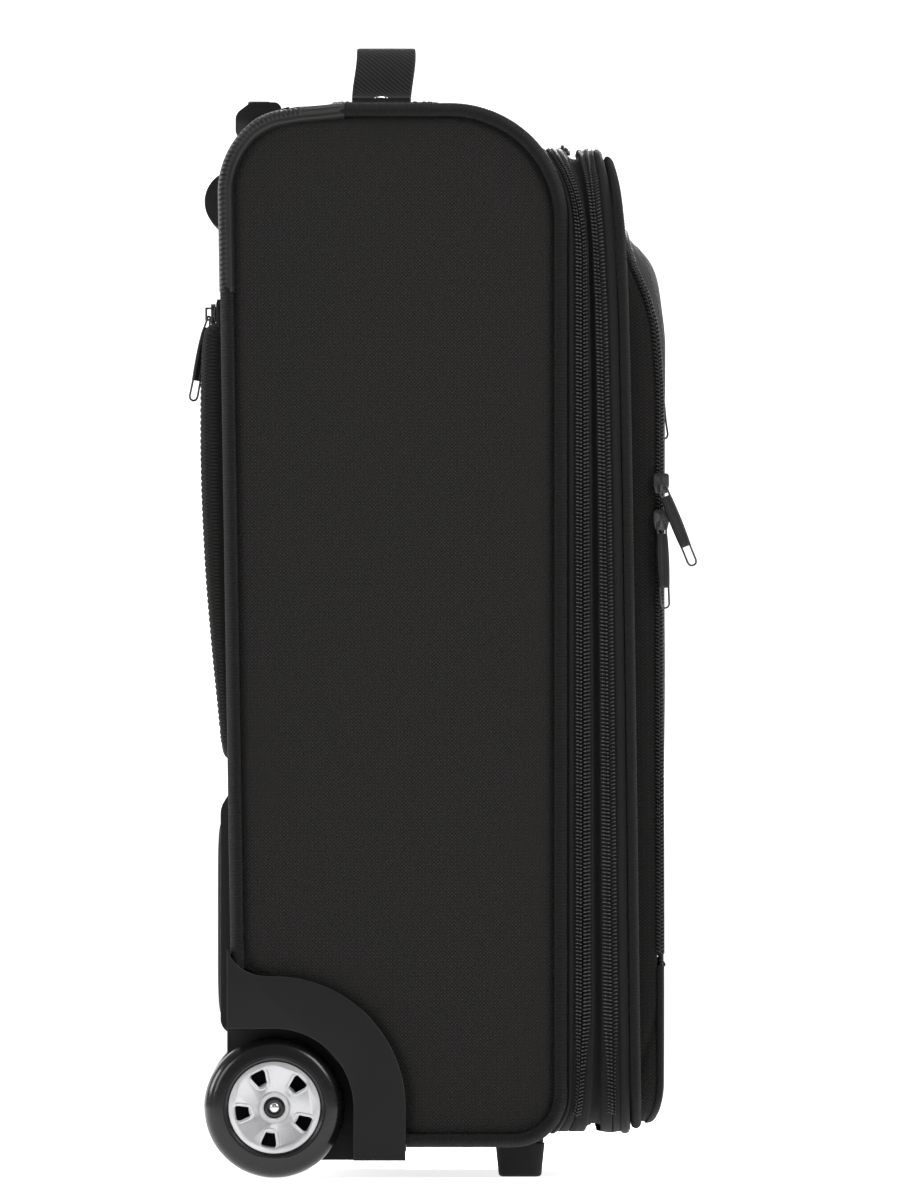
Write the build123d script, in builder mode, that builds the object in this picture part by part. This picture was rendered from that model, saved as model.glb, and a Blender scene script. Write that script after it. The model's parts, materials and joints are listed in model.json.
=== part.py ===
"""Softside upright suitcase on two wheels, millimetres, +Z up.

The origin is on the floor under the middle of the case. X runs across the width, -Y is the
front (lid and pockets) and +Y is the back (telescopic handle and wheels).
"""
import os
from math import cos, radians, sin

from build123d import *

os.makedirs("parts", exist_ok=True)

# ---------------------------------------------------------------- driving dimensions
# Body, as seen from the side
BODY_FRONT = -64.5
BODY_BACK_TOP = 117.0
BODY_BACK_FOOT = 108.5
BODY_BOTTOM = 16.0
BODY_TOP = 557.0
RADIUS_TOP_FRONT = 58.0
RADIUS_TOP_BACK = 46.0
RADIUS_FOOT = 28.0

# Across the width, from the middle plane
WRAP_HALF = 169.5
PANEL_OUT = 172.0
PIPING_OUT = 177.0
GUARD_OUT = 178.0
PIPING_WIDTH = 7.0
WRAP_INSET = 1.5
FABRIC = 2.0
BOARD_INSET = 4.0
BOARD = 2.5
LINING_INSET = 8.0
LINING_HALF = 166.0
LINING_BACK = 86.0

# Lid and expander, as seen from the front
LID_HALF = 173.0
LID_BOTTOM = 24.0
LID_TOP = 532.0
LID_RADIUS_TOP = 50.0
LID_RADIUS_FOOT = 30.0
LID_WALL = 2.0
FRAME_FACE = 2.0
EXPANSION_ZIP_LINE = 71.2
ZIP_GAP = 0.1
EXPANDER_ZIP_DEPTH = 3.3
BAND_START = EXPANSION_ZIP_LINE + EXPANDER_ZIP_DEPTH
LEAN_TOP_Y = -79.0
LEAN_FOOT_Y = -86.7
MAIN_ZIP_HALF = 3.5
LID_SHELL_START = 4.5
LID_SHELL_DEPTH = 5.0
LID_FACE = LID_SHELL_START + LID_SHELL_DEPTH
LID_PIPING_DEPTH = 6.0

# Front pocket on the lid
POCKET_HALF = 150.0
POCKET_FRONT = -115.0
POCKET_BOTTOM = 31.0
POCKET_TOP = 486.0
POCKET_RADIUS_TOP = 60.0
POCKET_RADIUS_FOOT = 20.0
POCKET_SHOULDER = 432.0
POCKET_TOP_Y = -96.0
POCKET_BEND = 250.0
POCKET_ROOT = -70.0
FLAP_HINGE_Z = 112.0
SEAM_GAP = 0.5
POCKET_ZIP_OUT = 6.0
POCKET_ZIP_FACE = -112.0
POCKET_ZIP_DEPTH = 4.0

# Wheels
AXLE_Y = 87.4
AXLE_Z = 36.5
TYRE_RADIUS = 36.5
RIM_RADIUS = 24.6
WHEEL_IN = 154.0
WHEEL_OUT = 176.0
WELL_RADIUS = 41.0
WELL_WALL = 2.5
WELL_IN = 150.0
ARCH_RADIUS = 68.0
ARCH_BOTTOM = 9.0
ARCH_TOP_BACK = 118.5
AXLE_RADIUS = 4.0
RUNNING = 0.05
BEARING_RADIUS = 11.0
BEARING_WIDTH = 7.0
HUB_FACE_HOLE = 5.6
SPOKE_WINDOWS = 5
WINDOW_RADIUS = 16.7
WINDOW_START = 63.0
WINDOW_WIDE = 9.2
WINDOW_LONG = 8.4
WINDOW_TAPER = 74

# Telescopic handle
TUBE_X = 75.0
TUBE_Y = 96.0
TUBE_FOOT = 60.0
OUTER_TUBE = (24.0, 13.0, 1.2)
MIDDLE_TUBE = (21.2, 10.2, 1.0)
INNER_TUBE = (18.8, 7.8, 1.0)
OUTER_TUBE_TOP = 535.0
MIDDLE_TUBE_FOOT = 64.0
MIDDLE_TUBE_TOP = 538.0
INNER_TUBE_FOOT = 68.0
INNER_TUBE_TOP = 541.0
STAGE_TRAVEL = 210.0
LOCK_Z = 84.0
LOCK_RADIUS = 2.0
GRIP_HALF = 92.0
GRIP_FOOT = 539.0
GRIP_TOP = 558.5
GRIP_FRONT = 84.0
GRIP_BACK = 108.0
BEZEL_HALF = 108.0
BEZEL_FRONT = 80.0
BEZEL_FOOT = 526.0
RECESS_FOOT = 538.5
BUMPER_FOOT = 488.0
BUMPER_Z = 506.5

# Carry handle on top
CARRY_Y = 30.0
CARRY_WIDTH = 31.0
CARRY_HALF = 52.0
CARRY_TOP = 588.0
ANCHOR_TOP = 558.5

# Zip sliders and pulls
SLIDER_WIDTH = 8.0
SLIDER_LENGTH = 10.5
SLIDER_LIFT = 0.2
SLIDER_PLATE = 2.4
BRIDGE_HALF = 3.5
BRIDGE_GAP_HALF = 2.5
BRIDGE_GAP = 1.9
BRIDGE_STRAP = 1.1
BRIDGE_WIDTH = 1.6
PULL_PIVOT = 1.3
PULL_LENGTH = 45.0
PULL_WIRE = 1.1
PULL_LOOP_HALF = 2.8
PULL_SLEEVE_HALF = 3.2
PULL_SLEEVE_THICK = 1.8
PULL_SLEEVE_TOP = 6.0
PULL_SLEEVE_FOOT = 34.0

LEAN = (LEAN_TOP_Y - LEAN_FOOT_Y) / (LID_TOP - LID_BOTTOM)
LEAN_PLANE = Plane(
    origin=(0, LEAN_FOOT_Y - LEAN * LID_BOTTOM, 0), x_dir=(1, 0, 0), z_dir=(0, -1, LEAN)
)


def back_y(z):
    """The body's leaning back edge at height z."""
    lean = (BODY_BACK_TOP - BODY_BACK_FOOT) / (BODY_TOP - BODY_BOTTOM)
    return BODY_BACK_FOOT + lean * (z - BODY_BOTTOM)


def inset_by(amount):
    """Shrink the sketch so far by an even margin, or grow it when negative."""
    if amount:
        offset(amount=-amount, mode=Mode.REPLACE)


def hollow(wall):
    """Leave only a rim of the sketch, one wall wide."""
    offset(amount=-wall, mode=Mode.SUBTRACT)


def body_outline(inset=0.0):
    """The body's rounded outline in a Plane.YZ sketch."""
    with BuildLine() as outline:
        FilletPolyline(
            (BODY_FRONT, BODY_BOTTOM),
            (BODY_BACK_FOOT, BODY_BOTTOM),
            (BODY_BACK_TOP, BODY_TOP),
            (BODY_FRONT, BODY_TOP),
            radius=[RADIUS_FOOT, RADIUS_FOOT, RADIUS_TOP_BACK, RADIUS_TOP_FRONT],
            close=True,
        )
    make_face(outline.edges())
    inset_by(inset)


def round_panel(half, bottom, top, foot_radius, top_radius):
    """A face with rounded corners, symmetric about the middle plane, in an XZ sketch."""
    with BuildLine() as outline:
        FilletPolyline(
            (-half, bottom),
            (half, bottom),
            (half, top),
            (-half, top),
            radius=[foot_radius, foot_radius, top_radius, top_radius],
            close=True,
        )
    make_face(outline.edges())


def lid_outline(inset=0.0):
    """The lid's outline in a sketch that faces the front."""
    round_panel(LID_HALF, LID_BOTTOM, LID_TOP, LID_RADIUS_FOOT, LID_RADIUS_TOP)
    inset_by(inset)


def pocket_outline(inset=0.0):
    """The front pocket's outline in a sketch that faces the front."""
    round_panel(POCKET_HALF, POCKET_BOTTOM, POCKET_TOP, POCKET_RADIUS_FOOT, POCKET_RADIUS_TOP)
    inset_by(inset)


def pocket_section(inset=0.0):
    """The front pocket's section in a Plane.YZ sketch: full depth low down, thin at its top."""
    with BuildLine() as outline:
        FilletPolyline(
            (POCKET_ROOT, POCKET_BOTTOM),
            (POCKET_FRONT, POCKET_BOTTOM),
            (POCKET_FRONT, POCKET_SHOULDER),
            (POCKET_TOP_Y, POCKET_TOP),
            (POCKET_ROOT, POCKET_TOP),
            radius=[2, 10, POCKET_BEND, 8, 2],
            close=True,
        )
    make_face(outline.edges())
    inset_by(inset)


def box_between(low, high, mode=Mode.ADD):
    """A box from its lowest to its highest corner."""
    centre = tuple((a + b) / 2 for a, b in zip(low, high))
    size = tuple(b - a for a, b in zip(low, high))
    with Locations(centre):
        Box(*size, mode=mode)


def wheel_well(grow=0.0):
    """The space round a wheel, open below and behind, in a Plane.YZ sketch."""
    radius = WELL_RADIUS + grow
    with Locations((AXLE_Y, AXLE_Z)):
        Circle(radius)
        Rectangle(80, 60, align=(Align.MIN, Align.MAX))
        Rectangle(80, radius, align=(Align.MIN, Align.MIN))
        Rectangle(radius, 60, align=(Align.MAX, Align.MAX))


def wheel_arch():
    """The plastic wheel guard's outer outline in a Plane.YZ sketch, the well included."""
    top = AXLE_Z + ARCH_RADIUS
    with BuildLine() as outline:
        Line((AXLE_Y - ARCH_RADIUS, ARCH_BOTTOM), (AXLE_Y - ARCH_RADIUS, AXLE_Z))
        RadiusArc((AXLE_Y - ARCH_RADIUS, AXLE_Z), (AXLE_Y, top), ARCH_RADIUS)
        Spline(
            (AXLE_Y, top), (AXLE_Y + 13, top + 2), (112, ARCH_TOP_BACK), tangents=[(1, 0), (0.4, 1)]
        )
        Line((112, ARCH_TOP_BACK), (112, ARCH_BOTTOM))
        Line((112, ARCH_BOTTOM), (AXLE_Y - ARCH_RADIUS, ARCH_BOTTOM))
    make_face(outline.edges())


def tube_bar(tube, foot, top, side, mode=Mode.ADD):
    """A solid bar with the outline of one telescope tube, a tuple of width, depth and wall."""
    with BuildSketch(Plane.XY.offset(foot)) as section:
        with Locations((side * TUBE_X, TUBE_Y)):
            RectangleRounded(tube[0], tube[1], tube[1] * 0.3)
    extrude(section.sketch, amount=top - foot, mode=mode)


def tube_bore(tube, foot, top, side):
    """The bore of one telescope tube, cut out."""
    wide = tube[0] - 2 * tube[2]
    deep = tube[1] - 2 * tube[2]
    with BuildSketch(Plane.XY.offset(foot)) as section:
        with Locations((side * TUBE_X, TUBE_Y)):
            RectangleRounded(wide, deep, deep * 0.3)
    extrude(section.sketch, amount=top - foot, mode=Mode.SUBTRACT)


# ---------------------------------------------------------------- body shell
for side, side_name in ((-1, "left"), (1, "right")):
    with BuildPart() as side_panel:
        with BuildSketch(Plane.YZ.offset(side * WRAP_HALF)):
            body_outline(PIPING_WIDTH)
        extrude(amount=side * (PANEL_OUT - WRAP_HALF))
        with BuildSketch(Plane.YZ.offset(side * WRAP_HALF)):
            wheel_arch()
        extrude(amount=side * (PANEL_OUT - WRAP_HALF), mode=Mode.SUBTRACT)
    side_panel.part.label = "side_panel_" + side_name
    export_step(side_panel.part, "parts/side_panel_" + side_name + ".step")

GUARD_START_Z = 459.0
GUARD_END_Y = 51.0

# Woven piping where each side panel meets the wrap, on both sides of the case
with BuildPart() as side_piping:
    with BuildSketch(Plane.YZ.offset(WRAP_HALF)):
        body_outline()
        hollow(PIPING_WIDTH)
    extrude(amount=PIPING_OUT - WRAP_HALF)
    with BuildSketch(Plane.YZ.offset(WRAP_HALF)):
        wheel_arch()
    extrude(amount=PIPING_OUT - WRAP_HALF, mode=Mode.SUBTRACT)
    box_between((150, GUARD_END_Y, GUARD_START_Z), (190, 140, 570), mode=Mode.SUBTRACT)
    mirror(about=Plane.YZ)
side_piping.part.label = "side_piping"
export_step(side_piping.part, "parts/side_piping.step")

# Moulded ribbed guards over the top back corners
with BuildPart() as corner_guards:
    with BuildSketch(Plane.YZ.offset(WRAP_HALF)):
        body_outline(-0.6)
        hollow(PIPING_WIDTH + 0.6)
    extrude(amount=GUARD_OUT - WRAP_HALF)
    box_between((150, GUARD_END_Y, GUARD_START_Z), (190, 140, 570), mode=Mode.INTERSECT)
    mirror(about=Plane.YZ)
corner_guards.part.label = "corner_guards"
export_step(corner_guards.part, "parts/corner_guards.step")


def bezel_block():
    """The handle bezel's outline in a Plane.YZ sketch: the top back corner with a rounded
    bumper on the back."""
    body_outline()
    with Locations((BEZEL_FRONT, BEZEL_FOOT)):
        Rectangle(60, 60, align=Align.MIN, mode=Mode.INTERSECT)


def bezel_back():
    """The part of the bezel that lies on the back, below the corner."""
    with Locations((110, BUMPER_FOOT)):
        Rectangle(4.5, BEZEL_FOOT - BUMPER_FOOT, align=Align.MIN)
    with Locations((107.5, BUMPER_Z)):
        Circle(16.5)
    with Locations((110, 480)):
        Rectangle(30, 60, align=Align.MIN, mode=Mode.INTERSECT)


# Fabric that wraps the top, the back and the bottom between the two side panels
with BuildPart() as wrap_fabric:
    with BuildSketch(Plane.YZ.offset(-WRAP_HALF)):
        body_outline(WRAP_INSET)
        hollow(FABRIC)
    extrude(amount=2 * WRAP_HALF)
    box_between((-200, -80, LID_BOTTOM), (200, -35, LID_TOP), mode=Mode.SUBTRACT)
    box_between((-WRAP_HALF, BODY_FRONT + 2, LID_TOP - 2), (WRAP_HALF, -50, LID_TOP))
    box_between((-WRAP_HALF, BODY_FRONT + 2, LID_BOTTOM), (WRAP_HALF, -50, LID_BOTTOM + 2))
    with BuildSketch(Plane.YZ.offset(-BEZEL_HALF)):
        bezel_block()
    extrude(amount=2 * BEZEL_HALF, mode=Mode.SUBTRACT)
    with BuildSketch(Plane.YZ.offset(-BEZEL_HALF)):
        bezel_back()
    extrude(amount=2 * BEZEL_HALF, mode=Mode.SUBTRACT)
    for side in (-1, 1):
        with BuildSketch(Plane.YZ.offset(side * (WELL_IN - WELL_WALL))):
            wheel_well(WELL_WALL)
        extrude(amount=side * 40, mode=Mode.SUBTRACT)
wrap_fabric.part.label = "wrap_fabric"
export_step(wrap_fabric.part, "parts/wrap_fabric.step")

# Stiff frame round the front opening
with BuildPart() as front_frame:
    with BuildSketch(Plane.XZ.offset(-BODY_FRONT - FRAME_FACE)):
        round_panel(WRAP_HALF, LID_BOTTOM, LID_TOP, 6, 6)
    extrude(amount=FRAME_FACE)
    with BuildSketch(Plane.XZ.offset(-BODY_FRONT - FRAME_FACE)):
        lid_outline(10)
    extrude(amount=FRAME_FACE, mode=Mode.SUBTRACT)
front_frame.part.label = "front_frame"
export_step(front_frame.part, "parts/front_frame.step")

# Board under the top fabric
with BuildPart() as top_board:
    with BuildSketch(Plane.YZ.offset(-WRAP_HALF)):
        body_outline(BOARD_INSET)
        hollow(BOARD)
    extrude(amount=2 * WRAP_HALF)
    box_between((-WRAP_HALF, -10, 530), (WRAP_HALF, BEZEL_FRONT, 560), mode=Mode.INTERSECT)
top_board.part.label = "top_board"
export_step(top_board.part, "parts/top_board.step")

# Board under the back fabric, behind the telescope tubes
with BuildPart() as back_board:
    with BuildSketch(Plane.YZ.offset(-WRAP_HALF)):
        body_outline(BOARD_INSET)
        hollow(BOARD)
    extrude(amount=2 * WRAP_HALF)
    box_between((-WRAP_HALF, 95, 122), (WRAP_HALF, 120, BUMPER_FOOT - 2), mode=Mode.INTERSECT)
back_board.part.label = "back_board"
export_step(back_board.part, "parts/back_board.step")

# Moulded tray along the bottom, cut round the wheel wells
TRAY_TOP = 34.0
with BuildPart() as bottom_tray:
    with BuildSketch(Plane.YZ.offset(-WRAP_HALF)):
        body_outline(WRAP_INSET + FABRIC)
        hollow(3)
    extrude(amount=2 * WRAP_HALF)
    box_between((-WRAP_HALF, -49.5, 0), (WRAP_HALF, 110, TRAY_TOP), mode=Mode.INTERSECT)
    for side in (-1, 1):
        with BuildSketch(Plane.YZ.offset(side * (WELL_IN - WELL_WALL))):
            wheel_well(WELL_WALL)
        extrude(amount=side * 40, mode=Mode.SUBTRACT)
bottom_tray.part.label = "bottom_tray"
export_step(bottom_tray.part, "parts/bottom_tray.step")

# Lining of the main compartment, open at the front
with BuildPart() as lining:
    with BuildSketch(Plane.YZ.offset(-LINING_HALF)):
        body_outline(LINING_INSET)
        with Locations((-100, 0)):
            Rectangle(100 + LINING_BACK, 600, align=Align.MIN, mode=Mode.INTERSECT)
    extrude(amount=2 * LINING_HALF)
    with BuildSketch(Plane.YZ.offset(-LINING_HALF + FABRIC)):
        body_outline(LINING_INSET + FABRIC)
        with Locations((-100, 0)):
            Rectangle(100 + LINING_BACK - FABRIC, 600, align=Align.MIN, mode=Mode.INTERSECT)
    extrude(amount=2 * (LINING_HALF - FABRIC), mode=Mode.SUBTRACT)
    box_between((-170, -70, LID_BOTTOM + 12), (170, -52, LID_TOP - 14), mode=Mode.SUBTRACT)
    for side in (-1, 1):
        with BuildSketch(Plane.YZ.offset(side * (WELL_IN - WELL_WALL - 9))):
            wheel_well(WELL_WALL + 1)
        extrude(amount=side * 40, mode=Mode.SUBTRACT)
    box_between(
        (-BEZEL_HALF - 0.5, BEZEL_FRONT - 0.5, BEZEL_FOOT - 0.5),
        (BEZEL_HALF + 0.5, 120, 560),
        mode=Mode.SUBTRACT,
    )
lining.part.label = "lining"
export_step(lining.part, "parts/lining.step")

# Tie-down straps across the compartment's back, each with its buckle
STRAP_HEIGHTS = (190.0, 370.0)
STRAP_WIDTH = 25.0
with BuildPart() as tie_straps:
    for strap_z in STRAP_HEIGHTS:
        box_between((-162, 82, strap_z), (162, 83.5, strap_z + STRAP_WIDTH))
        box_between((-24, 80.5, strap_z - 3), (24, 83.5, strap_z + STRAP_WIDTH + 3))
tie_straps.part.label = "tie_straps"
export_step(tie_straps.part, "parts/tie_straps.step")

# ---------------------------------------------------------------- wheel housings and wheels
for side, side_name in ((-1, "left"), (1, "right")):
    with BuildPart() as wheel_housing:
        # Guard on the side of the case
        with BuildSketch(Plane.YZ.offset(side * WRAP_HALF)):
            wheel_arch()
        extrude(amount=side * (GUARD_OUT - WRAP_HALF))
        # Wall round the wheel and the plate that holds the axle
        with BuildSketch(Plane.YZ.offset(side * (WELL_IN - WELL_WALL))):
            wheel_well(WELL_WALL)
            with Locations((0, ARCH_BOTTOM)):
                Rectangle(112, 200, align=Align.MIN, mode=Mode.INTERSECT)
        extrude(amount=side * (WRAP_HALF - WELL_IN + WELL_WALL))
        with BuildSketch(Plane.YZ.offset(side * WELL_IN)):
            wheel_well()
        extrude(amount=side * 60, mode=Mode.SUBTRACT)
        # Boss that spaces the wheel off the plate, bored for the axle
        with BuildSketch(Plane.YZ.offset(side * WELL_IN)):
            with Locations((AXLE_Y, AXLE_Z)):
                Circle(9)
        extrude(amount=side * 3)
        with BuildSketch(Plane.YZ.offset(side * (WELL_IN - 5))):
            with Locations((AXLE_Y, AXLE_Z)):
                Circle(AXLE_RADIUS)
        extrude(amount=side * 20, mode=Mode.SUBTRACT)
    wheel_housing.part.label = "wheel_housing_" + side_name
    export_step(wheel_housing.part, "parts/wheel_housing_" + side_name + ".step")

BEARING_IN = 154.5
BEARING_OUT = 164.0
HUB_PLATE_IN = BEARING_OUT + BEARING_WIDTH
HUB_PLATE_OUT = 174.8

# Axle bolts with a nut inside the plate and a socket head in the hub's middle
with BuildPart() as axle_bolts:
    with BuildSketch(Plane.YZ.offset(WELL_IN - WELL_WALL - 8)):
        with Locations((AXLE_Y, AXLE_Z)):
            Circle(AXLE_RADIUS)
    extrude(amount=HUB_PLATE_IN + RUNNING - WELL_IN + WELL_WALL + 8)
    with BuildSketch(Plane.YZ.offset(WELL_IN - WELL_WALL - 6.5)):
        with Locations((AXLE_Y, AXLE_Z)):
            RegularPolygon(7.5, 6)
    extrude(amount=6.5)
    with BuildSketch(Plane.YZ.offset(HUB_PLATE_IN + RUNNING)):
        with Locations((AXLE_Y, AXLE_Z)):
            Circle(4.9)
    extrude(amount=2.6)
    with BuildSketch(Plane.YZ.offset(HUB_PLATE_IN + 1)):
        with Locations((AXLE_Y, AXLE_Z)):
            RegularPolygon(2.4, 6)
    extrude(amount=5, mode=Mode.SUBTRACT)
    mirror(about=Plane.YZ)
axle_bolts.part.label = "axle_bolts"
export_step(axle_bolts.part, "parts/axle_bolts.step")

AXLE_AXIS = Axis((0, AXLE_Y, AXLE_Z), (1, 0, 0))
WHEEL_PLANE = Plane(origin=(0, AXLE_Y, AXLE_Z), x_dir=(1, 0, 0), z_dir=(0, -1, 0))


def inner_hub_radius():
    """Seat radius of the tyre on the hub."""
    return RIM_RADIUS - 1.2


for side, side_name in ((-1, "left"), (1, "right")):
    with BuildPart() as tyre:
        with BuildSketch(WHEEL_PLANE):
            with BuildLine():
                FilletPolyline(
                    (side * WHEEL_IN, inner_hub_radius()),
                    (side * WHEEL_OUT, inner_hub_radius()),
                    (side * WHEEL_OUT, TYRE_RADIUS),
                    (side * WHEEL_IN, TYRE_RADIUS),
                    radius=[0.6, 0.6, 8.5, 8.5],
                    close=True,
                )
            make_face()
        revolve(axis=AXLE_AXIS)
    tyre.part.label = "tyre_" + side_name
    export_step(tyre.part, "parts/tyre_" + side_name + ".step")

    with BuildPart() as hub:
        # Rim barrel, middle barrel and the disc between them
        with BuildSketch(WHEEL_PLANE):
            with Locations((side * (WHEEL_IN + WHEEL_OUT) / 2, inner_hub_radius() - 1.5)):
                Rectangle(WHEEL_OUT - WHEEL_IN - 1, 3)
            with Locations((side * (BEARING_IN + HUB_PLATE_OUT) / 2, BEARING_RADIUS + 1.2)):
                Rectangle(HUB_PLATE_OUT - BEARING_IN, 2.4)
            disc_middle = (HUB_FACE_HOLE + inner_hub_radius()) / 2
            with Locations((side * (HUB_PLATE_IN + HUB_PLATE_OUT) / 2, disc_middle)):
                Rectangle(HUB_PLATE_OUT - HUB_PLATE_IN, inner_hub_radius() - HUB_FACE_HOLE)
        revolve(axis=AXLE_AXIS)
        # Five windows with rounded corners, wider towards the rim
        with BuildSketch(Plane.YZ.offset(side * (HUB_PLATE_IN - 2))):
            for turn in range(SPOKE_WINDOWS):
                angle = WINDOW_START + 360 / SPOKE_WINDOWS * turn
                middle = (
                    AXLE_Y + WINDOW_RADIUS * cos(radians(angle)),
                    AXLE_Z + WINDOW_RADIUS * sin(radians(angle)),
                )
                with Locations(middle):
                    Trapezoid(WINDOW_WIDE, WINDOW_LONG, WINDOW_TAPER, rotation=angle + 90)
            fillet(vertices(), 1.3)
        extrude(amount=side * 8, mode=Mode.SUBTRACT)
    hub.part.label = "hub_" + side_name
    export_step(hub.part, "parts/hub_" + side_name + ".step")

    with BuildPart() as bearings:
        for start in (BEARING_IN, BEARING_OUT):
            with BuildSketch(Plane.YZ.offset(side * start)):
                with Locations((AXLE_Y, AXLE_Z)):
                    Circle(BEARING_RADIUS)
                    Circle(AXLE_RADIUS + RUNNING, mode=Mode.SUBTRACT)
            extrude(amount=side * BEARING_WIDTH)
    bearings.part.label = "bearings_" + side_name
    export_step(bearings.part, "parts/bearings_" + side_name + ".step")

# ---------------------------------------------------------------- back of the case
KICK_HALF = 145.0
with BuildPart() as kick_plate:
    with BuildSketch(Plane.YZ.offset(-KICK_HALF)):
        with BuildLine():
            FilletPolyline(
                (back_y(74) - WRAP_INSET, 74),
                (115.5, 76),
                (115.5, 192),
                (back_y(201) - WRAP_INSET, 201),
                radius=[0.5, 8, 12, 0.5],
                close=True,
            )
        make_face()
    extrude(amount=2 * KICK_HALF)
kick_plate.part.label = "kick_plate"
export_step(kick_plate.part, "parts/kick_plate.step")

# Feet that the case stands on in front of the wheels
with BuildPart() as front_feet:
    with BuildSketch(Plane.XY):
        with Locations((110, -40), (-110, -40)):
            RectangleRounded(34, 22, 6)
    extrude(amount=BODY_BOTTOM + WRAP_INSET, taper=-6)
    fillet(front_feet.faces().sort_by(Axis.Z)[:2].edges(), 2)
front_feet.part.label = "front_feet"
export_step(front_feet.part, "parts/front_feet.step")

REAR_POCKET_HALF = 148.0
REAR_POCKET_FOOT = 219.0
REAR_POCKET_TOP = 440.0
REAR_ZIP_TOP = 454.0


def rear_pocket_section(wall=0.0):
    """Section of the back pocket in a Plane.YZ sketch, its back edge on the wrap."""
    top_y = 120.8 - wall
    with BuildLine() as outline:
        Line(
            (back_y(REAR_POCKET_TOP) - WRAP_INSET, REAR_POCKET_TOP),
            (back_y(REAR_POCKET_FOOT) - WRAP_INSET, REAR_POCKET_FOOT + wall),
        )
        Line(
            (back_y(REAR_POCKET_FOOT) - WRAP_INSET, REAR_POCKET_FOOT + wall),
            (113.5 - wall / 2, REAR_POCKET_FOOT + wall),
        )
        ThreePointArc(
            (113.5 - wall / 2, REAR_POCKET_FOOT + wall),
            (122.3 - wall, 312),
            (125.3 - wall, 400),
        )
        ThreePointArc(
            (125.3 - wall, 400), (124.1 - wall, 424), (top_y, REAR_POCKET_TOP)
        )
        Line((top_y, REAR_POCKET_TOP), (back_y(REAR_POCKET_TOP) - WRAP_INSET, REAR_POCKET_TOP))
    make_face(outline.edges())


with BuildPart() as rear_pocket:
    with BuildSketch(Plane.YZ.offset(-REAR_POCKET_HALF)):
        rear_pocket_section()
    extrude(amount=2 * REAR_POCKET_HALF)
    with BuildSketch(Plane.YZ.offset(-REAR_POCKET_HALF + FABRIC)):
        rear_pocket_section(FABRIC)
    extrude(amount=2 * (REAR_POCKET_HALF - FABRIC), mode=Mode.SUBTRACT)
rear_pocket.part.label = "rear_pocket"
export_step(rear_pocket.part, "parts/rear_pocket.step")

# Zip tape along the back pocket's top edge
REAR_ZIP_FACE = 118.0
with BuildPart() as rear_zip:
    with BuildSketch(Plane.YZ.offset(-REAR_POCKET_HALF)):
        with BuildLine():
            Polyline(
                (back_y(REAR_POCKET_TOP) - WRAP_INSET, REAR_POCKET_TOP),
                (REAR_ZIP_FACE, REAR_POCKET_TOP),
                (REAR_ZIP_FACE, REAR_ZIP_TOP - 2),
                (back_y(REAR_ZIP_TOP) - WRAP_INSET, REAR_ZIP_TOP),
                close=True,
            )
        make_face()
    extrude(amount=2 * REAR_POCKET_HALF)
rear_zip.part.label = "rear_zip"
export_step(rear_zip.part, "parts/rear_zip.step")

# ---------------------------------------------------------------- telescopic handle
with BuildPart() as handle_bezel:
    with BuildSketch(Plane.YZ.offset(-BEZEL_HALF)):
        bezel_block()
    extrude(amount=2 * BEZEL_HALF)
    with BuildSketch(Plane.YZ.offset(-BEZEL_HALF)):
        bezel_back()
    extrude(amount=2 * BEZEL_HALF)
    box_between(
        (-GRIP_HALF - 2, GRIP_FRONT - 1.5, RECESS_FOOT),
        (GRIP_HALF + 2, 130, 600),
        mode=Mode.SUBTRACT,
    )
    for side in (-1, 1):
        tube_bar(OUTER_TUBE, 500, OUTER_TUBE_TOP, side, mode=Mode.SUBTRACT)
        tube_bore(OUTER_TUBE, 500, 560, side)
handle_bezel.part.label = "handle_bezel"
export_step(handle_bezel.part, "parts/handle_bezel.step")

with BuildPart() as outer_tubes:
    for side in (-1, 1):
        tube_bar(OUTER_TUBE, TUBE_FOOT, OUTER_TUBE_TOP, side)
        tube_bore(OUTER_TUBE, TUBE_FOOT, OUTER_TUBE_TOP, side)
outer_tubes.part.label = "outer_tubes"
export_step(outer_tubes.part, "parts/outer_tubes.step")

# Brackets that hold the fixed tubes' feet
with BuildPart() as tube_brackets:
    for side in (-1, 1):
        centre = side * TUBE_X
        box_between((centre - 20, 88, TUBE_FOOT - 6), (centre + 20, 102.8, TUBE_FOOT + 22))
        tube_bar(OUTER_TUBE, TUBE_FOOT, TUBE_FOOT + 22, side, mode=Mode.SUBTRACT)
tube_brackets.part.label = "tube_brackets"
export_step(tube_brackets.part, "parts/tube_brackets.step")

with BuildPart() as middle_tubes:
    for side in (-1, 1):
        tube_bar(MIDDLE_TUBE, MIDDLE_TUBE_FOOT, MIDDLE_TUBE_TOP, side)
        tube_bore(MIDDLE_TUBE, MIDDLE_TUBE_FOOT, MIDDLE_TUBE_TOP, side)
        # Lock holes for the handle's rest and full positions
        for lock_z in (LOCK_Z, LOCK_Z + STAGE_TRAVEL):
            with BuildSketch(Plane.XZ.offset(-TUBE_Y)):
                with Locations((side * TUBE_X, lock_z)):
                    Circle(LOCK_RADIUS + 0.3)
            extrude(amount=10, mode=Mode.SUBTRACT)
middle_tubes.part.label = "middle_tubes"
export_step(middle_tubes.part, "parts/middle_tubes.step")

with BuildPart() as inner_tubes:
    for side in (-1, 1):
        tube_bar(INNER_TUBE, INNER_TUBE_FOOT, INNER_TUBE_TOP, side)
        tube_bore(INNER_TUBE, INNER_TUBE_FOOT, INNER_TUBE_TOP, side)
        with BuildSketch(Plane.XZ.offset(-TUBE_Y)):
            with Locations((side * TUBE_X, LOCK_Z)):
                Circle(LOCK_RADIUS + RUNNING)
        extrude(amount=10, mode=Mode.SUBTRACT)
inner_tubes.part.label = "inner_tubes"
export_step(inner_tubes.part, "parts/inner_tubes.step")

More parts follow.
